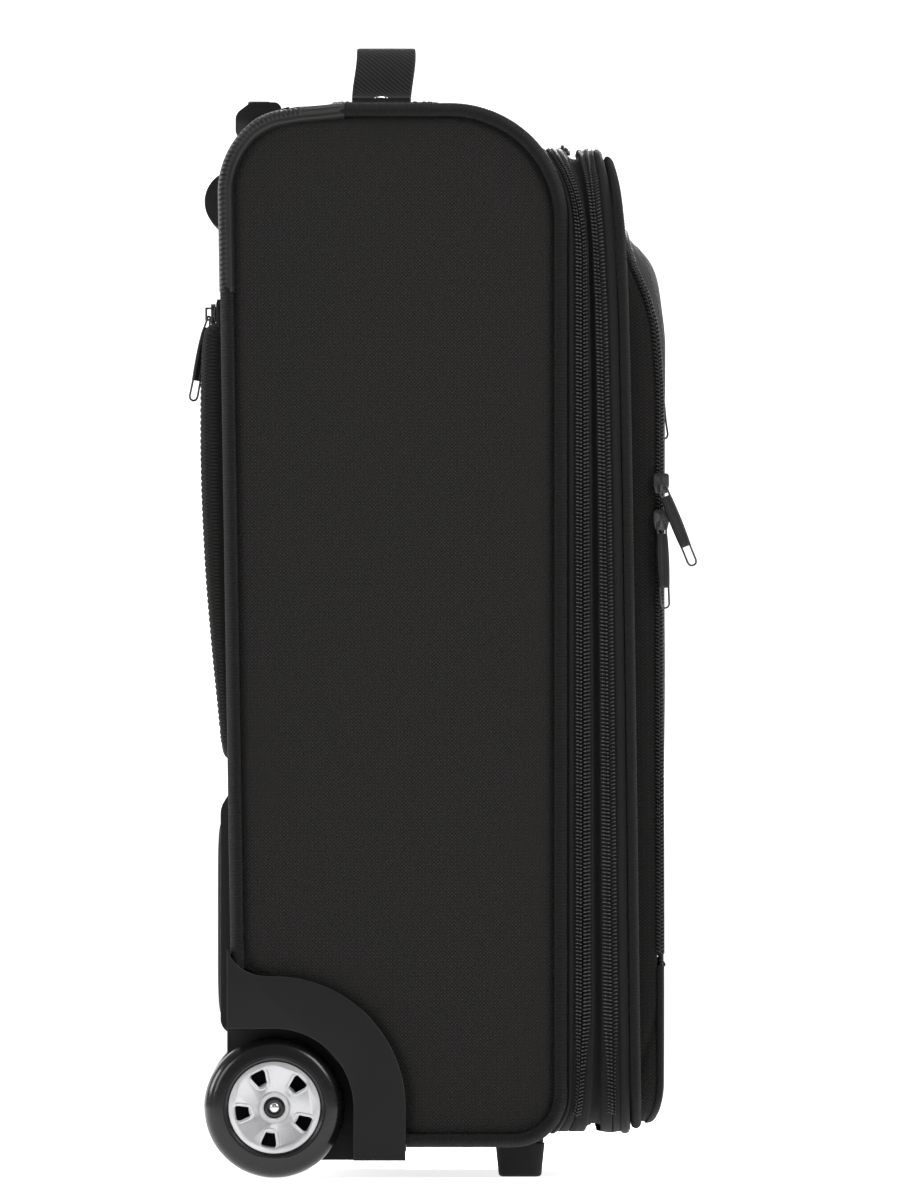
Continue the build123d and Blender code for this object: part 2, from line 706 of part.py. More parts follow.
BUTTON_HALF = 14.0
BUTTON_FRONT = 90.0
BUTTON_BACK = 102.0
BUTTON_FOOT = 551.0
BUTTON_TOP = 560.0
BUTTON_TRAVEL = 3.0
BUTTON_PLAY = 0.2

# Grip across the two inner tubes, hollow for the push bar
with BuildPart() as trolley_grip:
    with BuildSketch(Plane.YZ.offset(-GRIP_HALF)):
        with BuildLine():
            FilletPolyline(
                (GRIP_FRONT, GRIP_FOOT),
                (GRIP_BACK, GRIP_FOOT),
                (GRIP_BACK, GRIP_TOP - 6),
                (GRIP_BACK - 8, GRIP_TOP),
                (GRIP_FRONT, GRIP_TOP),
                radius=[3, 5, 6, 6, 4],
                close=True,
            )
        make_face()
    extrude(amount=2 * GRIP_HALF)
    box_between((-82, 91, 540.9), (82, 101, 553), mode=Mode.SUBTRACT)
    box_between(
        (-BUTTON_HALF - BUTTON_PLAY, BUTTON_FRONT - BUTTON_PLAY, 546),
        (BUTTON_HALF + BUTTON_PLAY, BUTTON_BACK + BUTTON_PLAY, 570),
        mode=Mode.SUBTRACT,
    )
    for side in (-1, 1):
        tube_bar(INNER_TUBE, 530, 541, side, mode=Mode.SUBTRACT)
trolley_grip.part.label = "trolley_grip"
export_step(trolley_grip.part, "parts/trolley_grip.step")

with BuildPart() as release_button:
    box_between(
        (-BUTTON_HALF, BUTTON_FRONT, BUTTON_FOOT), (BUTTON_HALF, BUTTON_BACK, BUTTON_TOP)
    )
    fillet(release_button.faces().sort_by(Axis.Z)[-1].edges(), 1.5)
release_button.part.label = "release_button"
export_step(release_button.part, "parts/release_button.step")

# Bar under the button with a rod down each inner tube
with BuildPart() as push_rods:
    box_between((-78, 93.5, 545), (78, 98.5, 550.9))
    with BuildSketch(Plane.XY.offset(LOCK_Z + 10)):
        with Locations((TUBE_X, TUBE_Y), (-TUBE_X, TUBE_Y)):
            Circle(1.8)
    extrude(amount=545 - LOCK_Z - 10)
push_rods.part.label = "push_rods"
export_step(push_rods.part, "parts/push_rods.step")

with BuildPart() as lock_pins:
    with BuildSketch(Plane.XZ.offset(-TUBE_Y - 0.9)):
        with Locations((TUBE_X, LOCK_Z), (-TUBE_X, LOCK_Z)):
            Circle(LOCK_RADIUS)
    extrude(amount=4.7)
lock_pins.part.label = "lock_pins"
export_step(lock_pins.part, "parts/lock_pins.step")

# ---------------------------------------------------------------- carry handle on top
ANCHOR_X = 76.0
with BuildPart() as handle_anchors:
    with BuildSketch(Plane.XY.offset(BODY_TOP - WRAP_INSET)):
        with Locations((ANCHOR_X, CARRY_Y), (-ANCHOR_X, CARRY_Y)):
            RectangleRounded(44, 56, 8)
    extrude(amount=ANCHOR_TOP - BODY_TOP + WRAP_INSET)
    fillet(handle_anchors.faces().sort_by(Axis.Z)[-2:].edges(), 1.2)
handle_anchors.part.label = "handle_anchors"
export_step(handle_anchors.part, "parts/handle_anchors.step")

with BuildPart() as carry_grip:
    with BuildSketch(Plane.YZ.offset(-CARRY_HALF)):
        with BuildLine():
            FilletPolyline(
                (CARRY_Y - 17, 568),
                (CARRY_Y + 15, 568),
                (CARRY_Y + 15, CARRY_TOP),
                (CARRY_Y - 17, CARRY_TOP),
                radius=6,
                close=True,
            )
        make_face()
    extrude(amount=2 * CARRY_HALF)
carry_grip.part.label = "carry_grip"
export_step(carry_grip.part, "parts/carry_grip.step")

# Webbing from each anchor up to the grip's ends
WEB_THICK = 2.5
with BuildPart() as carry_webbing:
    with BuildSketch(Plane.XZ.offset(-CARRY_Y - CARRY_WIDTH / 2)):
        with BuildLine():
            FilletPolyline(
                (ANCHOR_X + WEB_THICK, ANCHOR_TOP),
                (ANCHOR_X - 8, CARRY_TOP - 4),
                (CARRY_HALF + 0.1, CARRY_TOP - 4),
                (CARRY_HALF + 0.1, CARRY_TOP - 4 - WEB_THICK),
                (ANCHOR_X - 10, CARRY_TOP - 4 - WEB_THICK),
                (ANCHOR_X, ANCHOR_TOP),
                radius=[0.3, 7, 0.3, 0.3, 4.5, 0.3],
                close=True,
            )
        make_face()
    extrude(amount=CARRY_WIDTH)
    mirror(about=Plane.YZ)
carry_webbing.part.label = "carry_webbing"
export_step(carry_webbing.part, "parts/carry_webbing.step")

# ---------------------------------------------------------------- expander and lid
with BuildPart() as expansion_zip_rear:
    with BuildSketch(Plane.XZ.offset(-BODY_FRONT)):
        lid_outline()
        hollow(LID_WALL)
    extrude(amount=EXPANSION_ZIP_LINE - ZIP_GAP + BODY_FRONT)
expansion_zip_rear.part.label = "expansion_zip_rear"
export_step(expansion_zip_rear.part, "parts/expansion_zip_rear.step")

# Front half of the expansion zip and rear half of the main zip
with BuildPart() as expander_zips:
    with BuildSketch(Plane.XZ.offset(EXPANSION_ZIP_LINE + ZIP_GAP)):
        lid_outline()
        hollow(LID_WALL)
    extrude(amount=EXPANDER_ZIP_DEPTH - ZIP_GAP)
    with BuildSketch(LEAN_PLANE.offset(-MAIN_ZIP_HALF)):
        lid_outline()
        hollow(LID_WALL)
    extrude(amount=MAIN_ZIP_HALF - ZIP_GAP)
expander_zips.part.label = "expander_zips"
export_step(expander_zips.part, "parts/expander_zips.step")

# Band between the two zips, deeper at the bottom because the lid leans
with BuildPart() as expander_band:
    with BuildSketch(Plane.XZ.offset(BAND_START)):
        lid_outline()
        hollow(LID_WALL + 1)
    extrude(amount=20)
    split(bisect_by=LEAN_PLANE.offset(-MAIN_ZIP_HALF), keep=Keep.BOTTOM)
expander_band.part.label = "expander_band"
export_step(expander_band.part, "parts/expander_band.step")

# Folded fabric behind the expansion zip
with BuildPart() as expander_gusset:
    with BuildSketch(Plane.XZ.offset(65.5)):
        lid_outline(LID_WALL + 1.5)
        hollow(3)
    extrude(amount=BAND_START - 65.7)
expander_gusset.part.label = "expander_gusset"
export_step(expander_gusset.part, "parts/expander_gusset.step")

with BuildPart() as main_zip_front:
    with BuildSketch(LEAN_PLANE.offset(ZIP_GAP)):
        lid_outline()
        hollow(LID_WALL)
    extrude(amount=LID_SHELL_START - ZIP_GAP)
main_zip_front.part.label = "main_zip_front"
export_step(main_zip_front.part, "parts/main_zip_front.step")

# Lid: a shallow tub with its face to the front
with BuildPart() as lid_shell:
    with BuildSketch(LEAN_PLANE.offset(LID_SHELL_START)):
        lid_outline()
    extrude(amount=LID_SHELL_DEPTH)
    with BuildSketch(LEAN_PLANE.offset(LID_SHELL_START)):
        lid_outline(LID_WALL)
    extrude(amount=LID_SHELL_DEPTH - 2, mode=Mode.SUBTRACT)
lid_shell.part.label = "lid_shell"
export_step(lid_shell.part, "parts/lid_shell.step")

with BuildPart() as lid_piping:
    with BuildSketch(LEAN_PLANE.offset(LID_FACE)):
        lid_outline(-1)
        hollow(PIPING_WIDTH)
    extrude(amount=LID_PIPING_DEPTH)
lid_piping.part.label = "lid_piping"
export_step(lid_piping.part, "parts/lid_piping.step")

# ---------------------------------------------------------------- front pocket on the lid
def pocket_skin(low, high):
    """The pocket's outer skin between two heights, in front of the lid's face."""
    with BuildPart() as skin:
        with BuildSketch(Plane.YZ.offset(-POCKET_HALF)):
            pocket_section()
            hollow(FABRIC)
        extrude(amount=2 * POCKET_HALF)
        with BuildSketch(Plane.XZ.offset(-POCKET_ROOT)):
            pocket_outline()
        extrude(amount=POCKET_ROOT - POCKET_FRONT, mode=Mode.INTERSECT)
        box_between((-200, -130, low), (200, 0, high), mode=Mode.INTERSECT)
        split(bisect_by=LEAN_PLANE.offset(LID_FACE), keep=Keep.TOP)
    return skin.part


# Walls round the pocket up to the inside of the flap, and the fixed front below the flap
with BuildPart() as pocket_gusset:
    with BuildSketch(Plane.XZ.offset(-POCKET_ROOT)):
        pocket_outline()
        hollow(FABRIC)
    extrude(amount=POCKET_ROOT - POCKET_FRONT)
    with BuildSketch(Plane.YZ.offset(-POCKET_HALF)):
        pocket_section(FABRIC)
    extrude(amount=2 * POCKET_HALF, mode=Mode.INTERSECT)
    split(bisect_by=LEAN_PLANE.offset(LID_FACE), keep=Keep.TOP)
    add(pocket_skin(0, FLAP_HINGE_Z - SEAM_GAP / 2))
pocket_gusset.part.label = "pocket_gusset"
export_step(pocket_gusset.part, "parts/pocket_gusset.step")

with BuildPart() as pocket_flap:
    add(pocket_skin(FLAP_HINGE_Z + SEAM_GAP / 2, POCKET_TOP + 1))
pocket_flap.part.label = "pocket_flap"
export_step(pocket_flap.part, "parts/pocket_flap.step")

# Zip round the flap: up both sides a little behind the front, and over the top
with BuildPart() as pocket_zip:
    with BuildSketch(Plane.XZ.offset(-POCKET_ROOT)):
        pocket_outline(-POCKET_ZIP_OUT)
        hollow(POCKET_ZIP_OUT)
    extrude(amount=POCKET_ROOT - POCKET_FRONT)
    with BuildSketch(Plane.YZ.offset(-POCKET_HALF - POCKET_ZIP_OUT)):
        pocket_section(POCKET_ZIP_FACE - POCKET_FRONT)
        hollow(POCKET_ZIP_DEPTH)
    extrude(amount=2 * (POCKET_HALF + POCKET_ZIP_OUT), mode=Mode.INTERSECT)
    box_between((-200, -130, FLAP_HINGE_Z + 2), (200, 0, 500), mode=Mode.INTERSECT)
    split(bisect_by=LEAN_PLANE.offset(LID_FACE), keep=Keep.TOP)
    with BuildSketch(LEAN_PLANE.offset(LID_FACE)):
        pocket_outline(-POCKET_ZIP_OUT)
        hollow(POCKET_ZIP_OUT)
        with Locations((0, POCKET_TOP - 6)):
            Rectangle(400, 40, align=(Align.CENTER, Align.MIN), mode=Mode.INTERSECT)
    extrude(amount=POCKET_ZIP_DEPTH)
pocket_zip.part.label = "pocket_zip"
export_step(pocket_zip.part, "parts/pocket_zip.step")


# ---------------------------------------------------------------- zip sliders and their pulls
def zip_slider(seat):
    """A slider on the tape at seat: its plate, and the bridge that holds the pull."""
    plate_top = SLIDER_LIFT + SLIDER_PLATE
    with BuildPart() as slider:
        with BuildSketch(seat.offset(SLIDER_LIFT)):
            with BuildLine():
                FilletPolyline(
                    (-SLIDER_WIDTH / 2, SLIDER_LENGTH / 2),
                    (SLIDER_WIDTH / 2, SLIDER_LENGTH / 2),
                    (SLIDER_WIDTH / 2, -1),
                    (SLIDER_WIDTH / 2 - 1, -SLIDER_LENGTH / 2),
                    (-SLIDER_WIDTH / 2 + 1, -SLIDER_LENGTH / 2),
                    (-SLIDER_WIDTH / 2, -1),
                    radius=[1.6, 1.6, 2, 1, 1, 2],
                    close=True,
                )
            make_face()
        extrude(amount=SLIDER_PLATE)
        with BuildSketch(Plane(origin=seat.origin, x_dir=seat.y_dir, z_dir=seat.x_dir)):
            with Locations((0, plate_top - 0.4)):
                Rectangle(
                    2 * BRIDGE_HALF,
                    BRIDGE_GAP + BRIDGE_STRAP + 0.4,
                    align=(Align.CENTER, Align.MIN),
                )
            with Locations((0, plate_top)):
                Rectangle(
                    2 * BRIDGE_GAP_HALF,
                    BRIDGE_GAP,
                    align=(Align.CENTER, Align.MIN),
                    mode=Mode.SUBTRACT,
                )
        extrude(amount=BRIDGE_WIDTH / 2, both=True)
    return slider.part


def zip_pull(seat, tilt, swing):
    """The pull on a slider: a long wire loop through the bridge, in a moulded sleeve.

    It hangs swung out from the tape by tilt degrees, and turned in its own plane by swing
    degrees towards the seat's x_dir.
    """
    lift = SLIDER_LIFT + SLIDER_PLATE + BRIDGE_GAP / 2
    pivot = seat.origin + seat.z_dir * lift - seat.y_dir * PULL_PIVOT
    across = seat.x_dir * cos(radians(swing)) + seat.y_dir * sin(radians(swing))
    hanging = seat.x_dir * sin(radians(swing)) - seat.y_dir * cos(radians(swing))
    back = -(hanging * cos(radians(tilt)) + seat.z_dir * sin(radians(tilt)))
    plane = Plane(origin=pivot, x_dir=across, z_dir=across.cross(back))
    with BuildPart() as pull:
        with BuildSketch(plane.offset(-PULL_WIRE / 2)):
            for inset, mode in ((0, Mode.ADD), (PULL_WIRE, Mode.SUBTRACT)):
                half = PULL_LOOP_HALF - inset
                top = PULL_WIRE / 2 - inset
                with BuildLine():
                    FilletPolyline(
                        (-half, top),
                        (half, top),
                        (half, inset - PULL_LENGTH),
                        (-half, inset - PULL_LENGTH),
                        radius=[1.6 - inset, 1.6 - inset, half - 0.1, half - 0.1],
                        close=True,
                    )
                make_face(mode=mode)
        extrude(amount=PULL_WIRE)
        with BuildSketch(plane.offset(-PULL_SLEEVE_THICK / 2)):
            with BuildLine():
                FilletPolyline(
                    (-PULL_LOOP_HALF, -PULL_SLEEVE_TOP),
                    (PULL_LOOP_HALF, -PULL_SLEEVE_TOP),
                    (PULL_SLEEVE_HALF, -PULL_SLEEVE_TOP - 12),
                    (PULL_LOOP_HALF, -PULL_SLEEVE_FOOT),
                    (-PULL_LOOP_HALF, -PULL_SLEEVE_FOOT),
                    (-PULL_SLEEVE_HALF, -PULL_SLEEVE_TOP - 12),
                    radius=[0.8, 0.8, 12, 0.8, 0.8, 12],
                    close=True,
                )
            make_face()
        extrude(amount=PULL_SLEEVE_THICK)
    return pull.part


def main_zip_y(z):
    """Where the leaning main zip stands at height z."""
    return LEAN_FOOT_Y + LEAN * (z - LID_BOTTOM)


POCKET_SIDE = POCKET_HALF + POCKET_ZIP_OUT


def side_seat(side, y, z):
    """A seat on the outer side of the front pocket's zip, its travel along Z."""
    return Plane((side * POCKET_SIDE, y, z), x_dir=(0, side, 0), z_dir=(side, 0, 0))


def main_zip_seat(z):
    """A seat on the main zip's right side, its travel along the leaning zip."""
    return Plane((LID_HALF, main_zip_y(z), z), x_dir=(0, 1, -LEAN), z_dir=(1, 0, 0))


# Each slider's seat, with its pull's tilt and swing
SEATS = {
    "pocket_slider_a": (side_seat(-1, -113.2, 360), 0, 22),
    "pocket_slider_b": (side_seat(-1, -113.2, 341), 0, 2.5),
    "organizer_slider": (side_seat(1, -110.2, 429.6), 0, -8),
    "rear_slider": (
        Plane((-120, REAR_ZIP_FACE, 448), x_dir=(-1, 0, 0), z_dir=(0, 1, 0)),
        11,
        0,
    ),
    "expansion_slider": (Plane((40, -62.5, LID_TOP), x_dir=(0, 1, 0), z_dir=(0, 0, 1)), 0, 0),
    "main_slider_a": (main_zip_seat(350), 0, 0),
    "main_slider_b": (main_zip_seat(296), 0, 0),
}
for name, (seat, tilt, swing) in SEATS.items():
    slider = zip_slider(seat)
    slider.label = name
    export_step(slider, "parts/" + name + ".step")
    pull = zip_pull(seat, tilt, swing)
    pull.label = name.replace("slider", "pull")
    export_step(pull, "parts/" + name.replace("slider", "pull") + ".step")
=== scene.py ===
"""Looks of the softside upright suitcase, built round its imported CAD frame.

Lengths in this script are millimetres until mesh_piece() turns them into metres. X runs across
the width, -Y is the front and +Z is up.
"""
import json
from math import atan2, ceil, cos, exp, pi, radians, sin, sqrt, tan

import bmesh
import bpy
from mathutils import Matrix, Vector, noise


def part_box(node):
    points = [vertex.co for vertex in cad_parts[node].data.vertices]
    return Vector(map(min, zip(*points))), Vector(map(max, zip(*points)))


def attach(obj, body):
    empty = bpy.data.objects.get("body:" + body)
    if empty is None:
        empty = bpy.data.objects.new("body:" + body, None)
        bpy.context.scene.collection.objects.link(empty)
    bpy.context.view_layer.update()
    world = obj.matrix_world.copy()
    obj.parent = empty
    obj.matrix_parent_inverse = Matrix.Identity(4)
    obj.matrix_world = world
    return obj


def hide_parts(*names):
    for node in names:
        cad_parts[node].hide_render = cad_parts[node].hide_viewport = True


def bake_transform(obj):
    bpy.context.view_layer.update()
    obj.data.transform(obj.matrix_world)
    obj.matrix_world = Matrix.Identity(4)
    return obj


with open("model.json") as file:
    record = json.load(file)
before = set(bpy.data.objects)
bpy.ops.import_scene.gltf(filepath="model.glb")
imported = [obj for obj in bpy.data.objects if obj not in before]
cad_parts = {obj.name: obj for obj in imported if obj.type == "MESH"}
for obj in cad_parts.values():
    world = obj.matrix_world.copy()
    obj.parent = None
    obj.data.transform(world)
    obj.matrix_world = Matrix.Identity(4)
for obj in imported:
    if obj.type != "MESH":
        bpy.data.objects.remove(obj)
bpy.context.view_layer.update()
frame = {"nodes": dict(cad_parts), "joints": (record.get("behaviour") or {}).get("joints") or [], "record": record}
NODES = frame["nodes"]
BODY_OF = {node: body for body, nodes in frame["record"]["behaviour"]["bodies"].items() for node in nodes}
SLOT_OF = {row["node"]: row["material_slot"] for row in frame["record"]["subparts"]}
MM = 0.001
EDGE_LIMIT = radians(32)


def node_box(node):
    """Lowest and highest corner of a CAD node, in millimetres."""
    low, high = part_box(node)
    return low / MM, high / MM


# ---------------------------------------------------------------- driving sizes
BODY_FRONT = -64.5
BODY_BACK_TOP = 117.0
BODY_BACK_FOOT = 108.5
BODY_BOTTOM = 16.0
BODY_TOP = 557.0
BODY_MIDDLE = (0, 30, 280)
TOP_FRONT_RADIUS = 61.0
TOP_BACK_RADIUS = 46.0
FOOT_RADIUS = 28.0
WRAP_HALF = 169.5
WRAP_INSET = 1.5
PIPING_WIDTH = 6.8
GROOVE_BASE = 170.6
GUARD_BASE = 171.0
RIM_BASE = 169.4
CLOTH_AT = 172.1
RIB = 1.7
GUARD_RIB = 2.6

LID_HALF = 173.0
LID_BOTTOM = 23.0
LID_TOP = 533.4
LID_FOOT_RADIUS = 30.0
LID_TOP_RADIUS = 50.0
LID_MIDDLE = (0, -85, 280)
ZIP_LINE = 72.2
MAIN_LINE = 84.6
LID_FACE = 95.0
LID_FRONT = 101.0
ZIP_PITCH = 1.94

POCKET_HALF = 150.0
POCKET_BOTTOM = 33.0
POCKET_TOP = 486.0
POCKET_FOOT_RADIUS = 20.0
POCKET_TOP_RADIUS = 60.0
FLAP_SEAM = 112.0
WALL_DEPTH = 13.0

# Depth of each line against its height, as (z, y) knots
EXPANSION_ZIP_PATH = [
    (22, -64), (30, -68), (45, -70.2), (65, -71.3), (95, -72.2), (478, -72.2),
    (495, -71), (510, -67.9), (522, -62.9), (528, -59.4), (534, -55.5),
]
MAIN_ZIP_PATH = [
    (22, -88.2), (65, -87.4), (300, -84.6), (440, -82.0), (478, -80.2), (496, -79), (515, -77.3), (534, -75),
]
LID_FRONT_PATH = [
    (22, -102.8), (65, -102.3), (300, -99.2), (440, -96.6), (487, -94.7), (503, -93.2), (513, -91.8),
    (522, -89.8), (534, -86),
]
POCKET_ZIP_PATH = [
    (26, -104.5), (30, -108), (37, -111), (48, -112.6), (300, -112.2), (400, -112.6), (414, -112.2),
    (440, -110), (448, -108.2), (457, -105.7), (465.5, -102.3), (472.5, -99.2), (482, -96), (492, -94),
]
POCKET_MIDDLE_PATH = [
    (26, -105.5), (31, -109.5), (38, -112.6), (50, -114), (112, -113.8), (200, -114.8), (400, -115.2),
    (430, -115.4), (439, -115), (450, -113.8), (464, -112), (474, -109.6), (481, -106.2), (485, -102),
    (488, -98),
]

AXLE_Y = 87.4
AXLE_Z = 36.5
ARCH_RADIUS = 68.0
ARCH_TOP = 118.0
TAIL_Y = 100
TAIL_Z = 107
WELL_IN = 147.5
WELL_FRONT = 43.9
WELL_TOP = 80
BEZEL_HALF = 108.0
BEZEL_FRONT = 79.8
BEZEL_FOOT = 487.8


# ---------------------------------------------------------------- outlines
def back_y(z):
    """The body's leaning back edge at height z."""
    return BODY_BACK_FOOT + (BODY_BACK_TOP - BODY_BACK_FOOT) * (z - BODY_BOTTOM) / (BODY_TOP - BODY_BOTTOM)


def arc(centre, radius, start, end, step=3.0):
    """Points on an arc, angles in radians."""
    steps = max(2, ceil(abs(end - start) * radius / step))
    turns = [start + (end - start) * i / steps for i in range(steps + 1)]
    return [(centre[0] + radius * cos(t), centre[1] + radius * sin(t)) for t in turns]


def rounded(corners):
    """A closed outline through corners (u, v, radius), listed counter-clockwise."""
    points = []
    for i, (u, v, radius) in enumerate(corners):
        here = Vector((u, v))
        back = (Vector(corners[i - 1][:2]) - here).normalized()
        ahead = (Vector(corners[(i + 1) % len(corners)][:2]) - here).normalized()
        half = back.angle(ahead) / 2
        centre = here + (back + ahead).normalized() * (radius / sin(half))
        first = here + back * (radius / tan(half)) - centre
        start = atan2(first.y, first.x)
        points += arc(centre, radius, start, start + pi - 2 * half)
    return points


def evenly(points, step, closed=True):
    """Stations (u, v, normal u, normal v, distance), evenly spaced along the points. The normal is
    on the right of the direction of travel, so it points out of a counter-clockwise outline."""
    run = points + points[:1] if closed else points
    marks = [0.0]
    for a, b in zip(run, run[1:]):
        marks.append(marks[-1] + sqrt((b[0] - a[0]) ** 2 + (b[1] - a[1]) ** 2))
    count = max(2, round(marks[-1] / step))
    places, k = [], 0
    for i in range(count if closed else count + 1):
        at = marks[-1] * i / count
        while k < len(run) - 2 and marks[k + 1] < at:
            k += 1
        share = (at - marks[k]) / max(marks[k + 1] - marks[k], 1e-9)
        a, b = run[k], run[k + 1]
        places.append((a[0] + (b[0] - a[0]) * share, a[1] + (b[1] - a[1]) * share, at))
    stations, last = [], len(places) - 1
    for i, (u, v, at) in enumerate(places):
        a = places[i - 1] if closed or i else places[0]
        b = places[(i + 1) % len(places)] if closed else places[min(i + 1, last)]
        along = Vector((b[0] - a[0], b[1] - a[1])).normalized()
        stations.append((u, v, along.y, -along.x, at))
    return stations


def body_corners(inset=0.0):
    return [
        (BODY_FRONT + inset, BODY_BOTTOM + inset, FOOT_RADIUS - inset),
        (BODY_BACK_FOOT - inset, BODY_BOTTOM + inset, FOOT_RADIUS - inset),
        (BODY_BACK_TOP - inset, BODY_TOP - inset, TOP_BACK_RADIUS - inset),
        (BODY_FRONT + inset, BODY_TOP - inset, TOP_FRONT_RADIUS - inset),
    ]


def box_corners(half, bottom, top, foot_radius, top_radius):
    foot = [(-half, bottom, foot_radius), (half, bottom, foot_radius)]
    return foot + [(half, top, top_radius), (-half, top, top_radius)]


def lid_corners(inset=0.0):
    return box_corners(LID_HALF - inset, LID_BOTTOM + inset, LID_TOP - inset, LID_FOOT_RADIUS - inset,
                       LID_TOP_RADIUS - inset)


def pocket_corners(out=0.0):
    return box_corners(POCKET_HALF + out, POCKET_BOTTOM - out, POCKET_TOP + out, POCKET_FOOT_RADIUS + out,
                       POCKET_TOP_RADIUS + out)


def smooth(t):
    t = min(1.0, max(0.0, t))
    return t * t * (3 - 2 * t)


def curve(x, knots):
    """A smooth curve through knots (x, y), flat outside them."""
    if x <= knots[0][0]:
        return knots[0][1]
    for i in range(len(knots) - 1):
        (x0, y0), (x1, y1) = knots[i], knots[i + 1]
        if x <= x1:
            before = knots[max(i - 1, 0)]
            after = knots[min(i + 2, len(knots) - 1)]
            slope0 = (y1 - before[1]) / (x1 - before[0])
            slope1 = (after[1] - y0) / (after[0] - x0)
            t, span = (x - x0) / (x1 - x0), x1 - x0
            return (
                y0 * (1 + 2 * t) * (1 - t) ** 2
                + slope0 * span * t * (1 - t) ** 2
                + y1 * t * t * (3 - 2 * t)
                + slope1 * span * t * t * (t - 1)
            )
    return knots[-1][1]


def body_front_y(z):
    """Where the body's front stands at height z, its corners rounded."""
    rise = min(max(z - (BODY_TOP - TOP_FRONT_RADIUS), 0), TOP_FRONT_RADIUS - 0.1)
    drop = min(max(BODY_BOTTOM + FOOT_RADIUS - z, 0), FOOT_RADIUS - 0.1)
    top = TOP_FRONT_RADIUS - sqrt(TOP_FRONT_RADIUS ** 2 - rise * rise)
    return BODY_FRONT + top + FOOT_RADIUS - sqrt(FOOT_RADIUS ** 2 - drop * drop)


def guide(knots):
    """The depth y of a line of the case at height z."""
    return lambda z: curve(z, knots)


zip_one_y = guide(EXPANSION_ZIP_PATH)
main_y = guide(MAIN_ZIP_PATH)
lid_front_y = guide(LID_FRONT_PATH)
pocket_zip_y = guide(POCKET_ZIP_PATH)
pocket_middle_y = guide(POCKET_MIDDLE_PATH)


# ---------------------------------------------------------------- places
def side_place(side):
    return lambda u, v, w: (side * w, u, v)


def across(u, v, w):
    return (w, u, v)


GUIDES = [(-BODY_FRONT, body_front_y), (ZIP_LINE, zip_one_y), (MAIN_LINE, main_y), (LID_FRONT, lid_front_y)]


def lid_place(u, v, w):
    """u across, v up and w forward, 64.5 on the body's front: between the guide lines the depth
    is shared out evenly, so that zips, bands and piping all follow the lid's lean and its turns."""
    for (w0, y0), (w1, y1) in zip(GUIDES, GUIDES[1:]):
        if w <= w1:
            share = (w - w0) / (w1 - w0)
            return (u, y0(v) * (1 - share) + y1(v) * share, v) if w > w0 else (u, y0(v) + w0 - w, v)
    return (u, y1(v) + w1 - w, v)


def gusset_place(u, v, w):
    """From the lid's face at w = 0 to the pocket's zip at w = WALL_DEPTH."""
    root = lid_place(u, v, LID_FACE)[1]
    return (u, root + (pocket_zip_y(v) - root) * w / WALL_DEPTH, v)


# ---------------------------------------------------------------- mesh makers
def mesh_piece(name, points, faces, uvs=None, material=None, smooth_shade=True):
    """A mesh object from points in millimetres. uvs holds one (u, v) in millimetres per face corner."""
    mesh = bpy.data.meshes.new(name)
    mesh.from_pydata([(x * MM, y * MM, z * MM) for x, y, z in points], [], faces)
    if uvs:
        layer = mesh.uv_layers.new(name="UVMap")
        flat = [c * MM for uv in uvs for c in uv]
        layer.data.foreach_set("uv", flat)
    mesh.polygons.foreach_set("use_smooth", [smooth_shade] * len(mesh.polygons))
    piece = bpy.data.objects.new(name, mesh)
    bpy.context.scene.collection.objects.link(piece)
    if material:
        mesh.materials.append(material)
    return piece


def tube_grid(rows, wide, base=0, ring=True, loop=False):
    """Faces over rows of wide points each, numbered from base. ring joins the end of a row to its
    start, and loop joins the last row to the first."""
    faces = []
    for i in range(rows if loop else rows - 1):
        low, high = base + i * wide, base + (i + 1) % rows * wide
        for k in range(wide if ring else wide - 1):
            m = (k + 1) % wide
            faces.append((low + k, low + m, high + m, high + k))
    return faces


def capped_tube(rows, wide, base):
    """A tube's faces with its two ends closed."""
    last = base + (rows - 1) * wide
    ends = [tuple(base + k for k in reversed(range(wide))), tuple(last + k for k in range(wide))]
    return tube_grid(rows, wide, base) + ends


def circle(radius, count, middle=(0.0, 0.0), tall=None):
    """Points round a circle, or round an ellipse where tall is given."""
    turns = [2 * pi * k / count for k in range(count)]
    return [(middle[0] + radius * cos(t), middle[1] + (tall or radius) * sin(t)) for t in turns]


def tidied(piece, merge=True):
    """Turns the faces outwards, and merges double points first."""
    bm = bmesh.new()
    bm.from_mesh(piece.data)
    if merge:
        bmesh.ops.remove_doubles(bm, verts=bm.verts, dist=0.02 * MM)
    bmesh.ops.recalc_face_normals(bm, faces=bm.faces)
    bm.to_mesh(piece.data)
    bm.free()
    return piece


def baked(piece):
    """Applies the piece's modifiers to its mesh."""
    graph = bpy.context.evaluated_depsgraph_get()
    graph.update()
    mesh = bpy.data.meshes.new_from_object(piece.evaluated_get(graph))
    piece.modifiers.clear()
    piece.data = mesh
    return piece


def thickened(piece, thickness):
    """Gives an open sheet a thickness, inwards from its face."""
    solid = piece.modifiers.new("thickness", "SOLIDIFY")
    solid.thickness = thickness * MM
    solid.offset = -1
    return baked(piece)


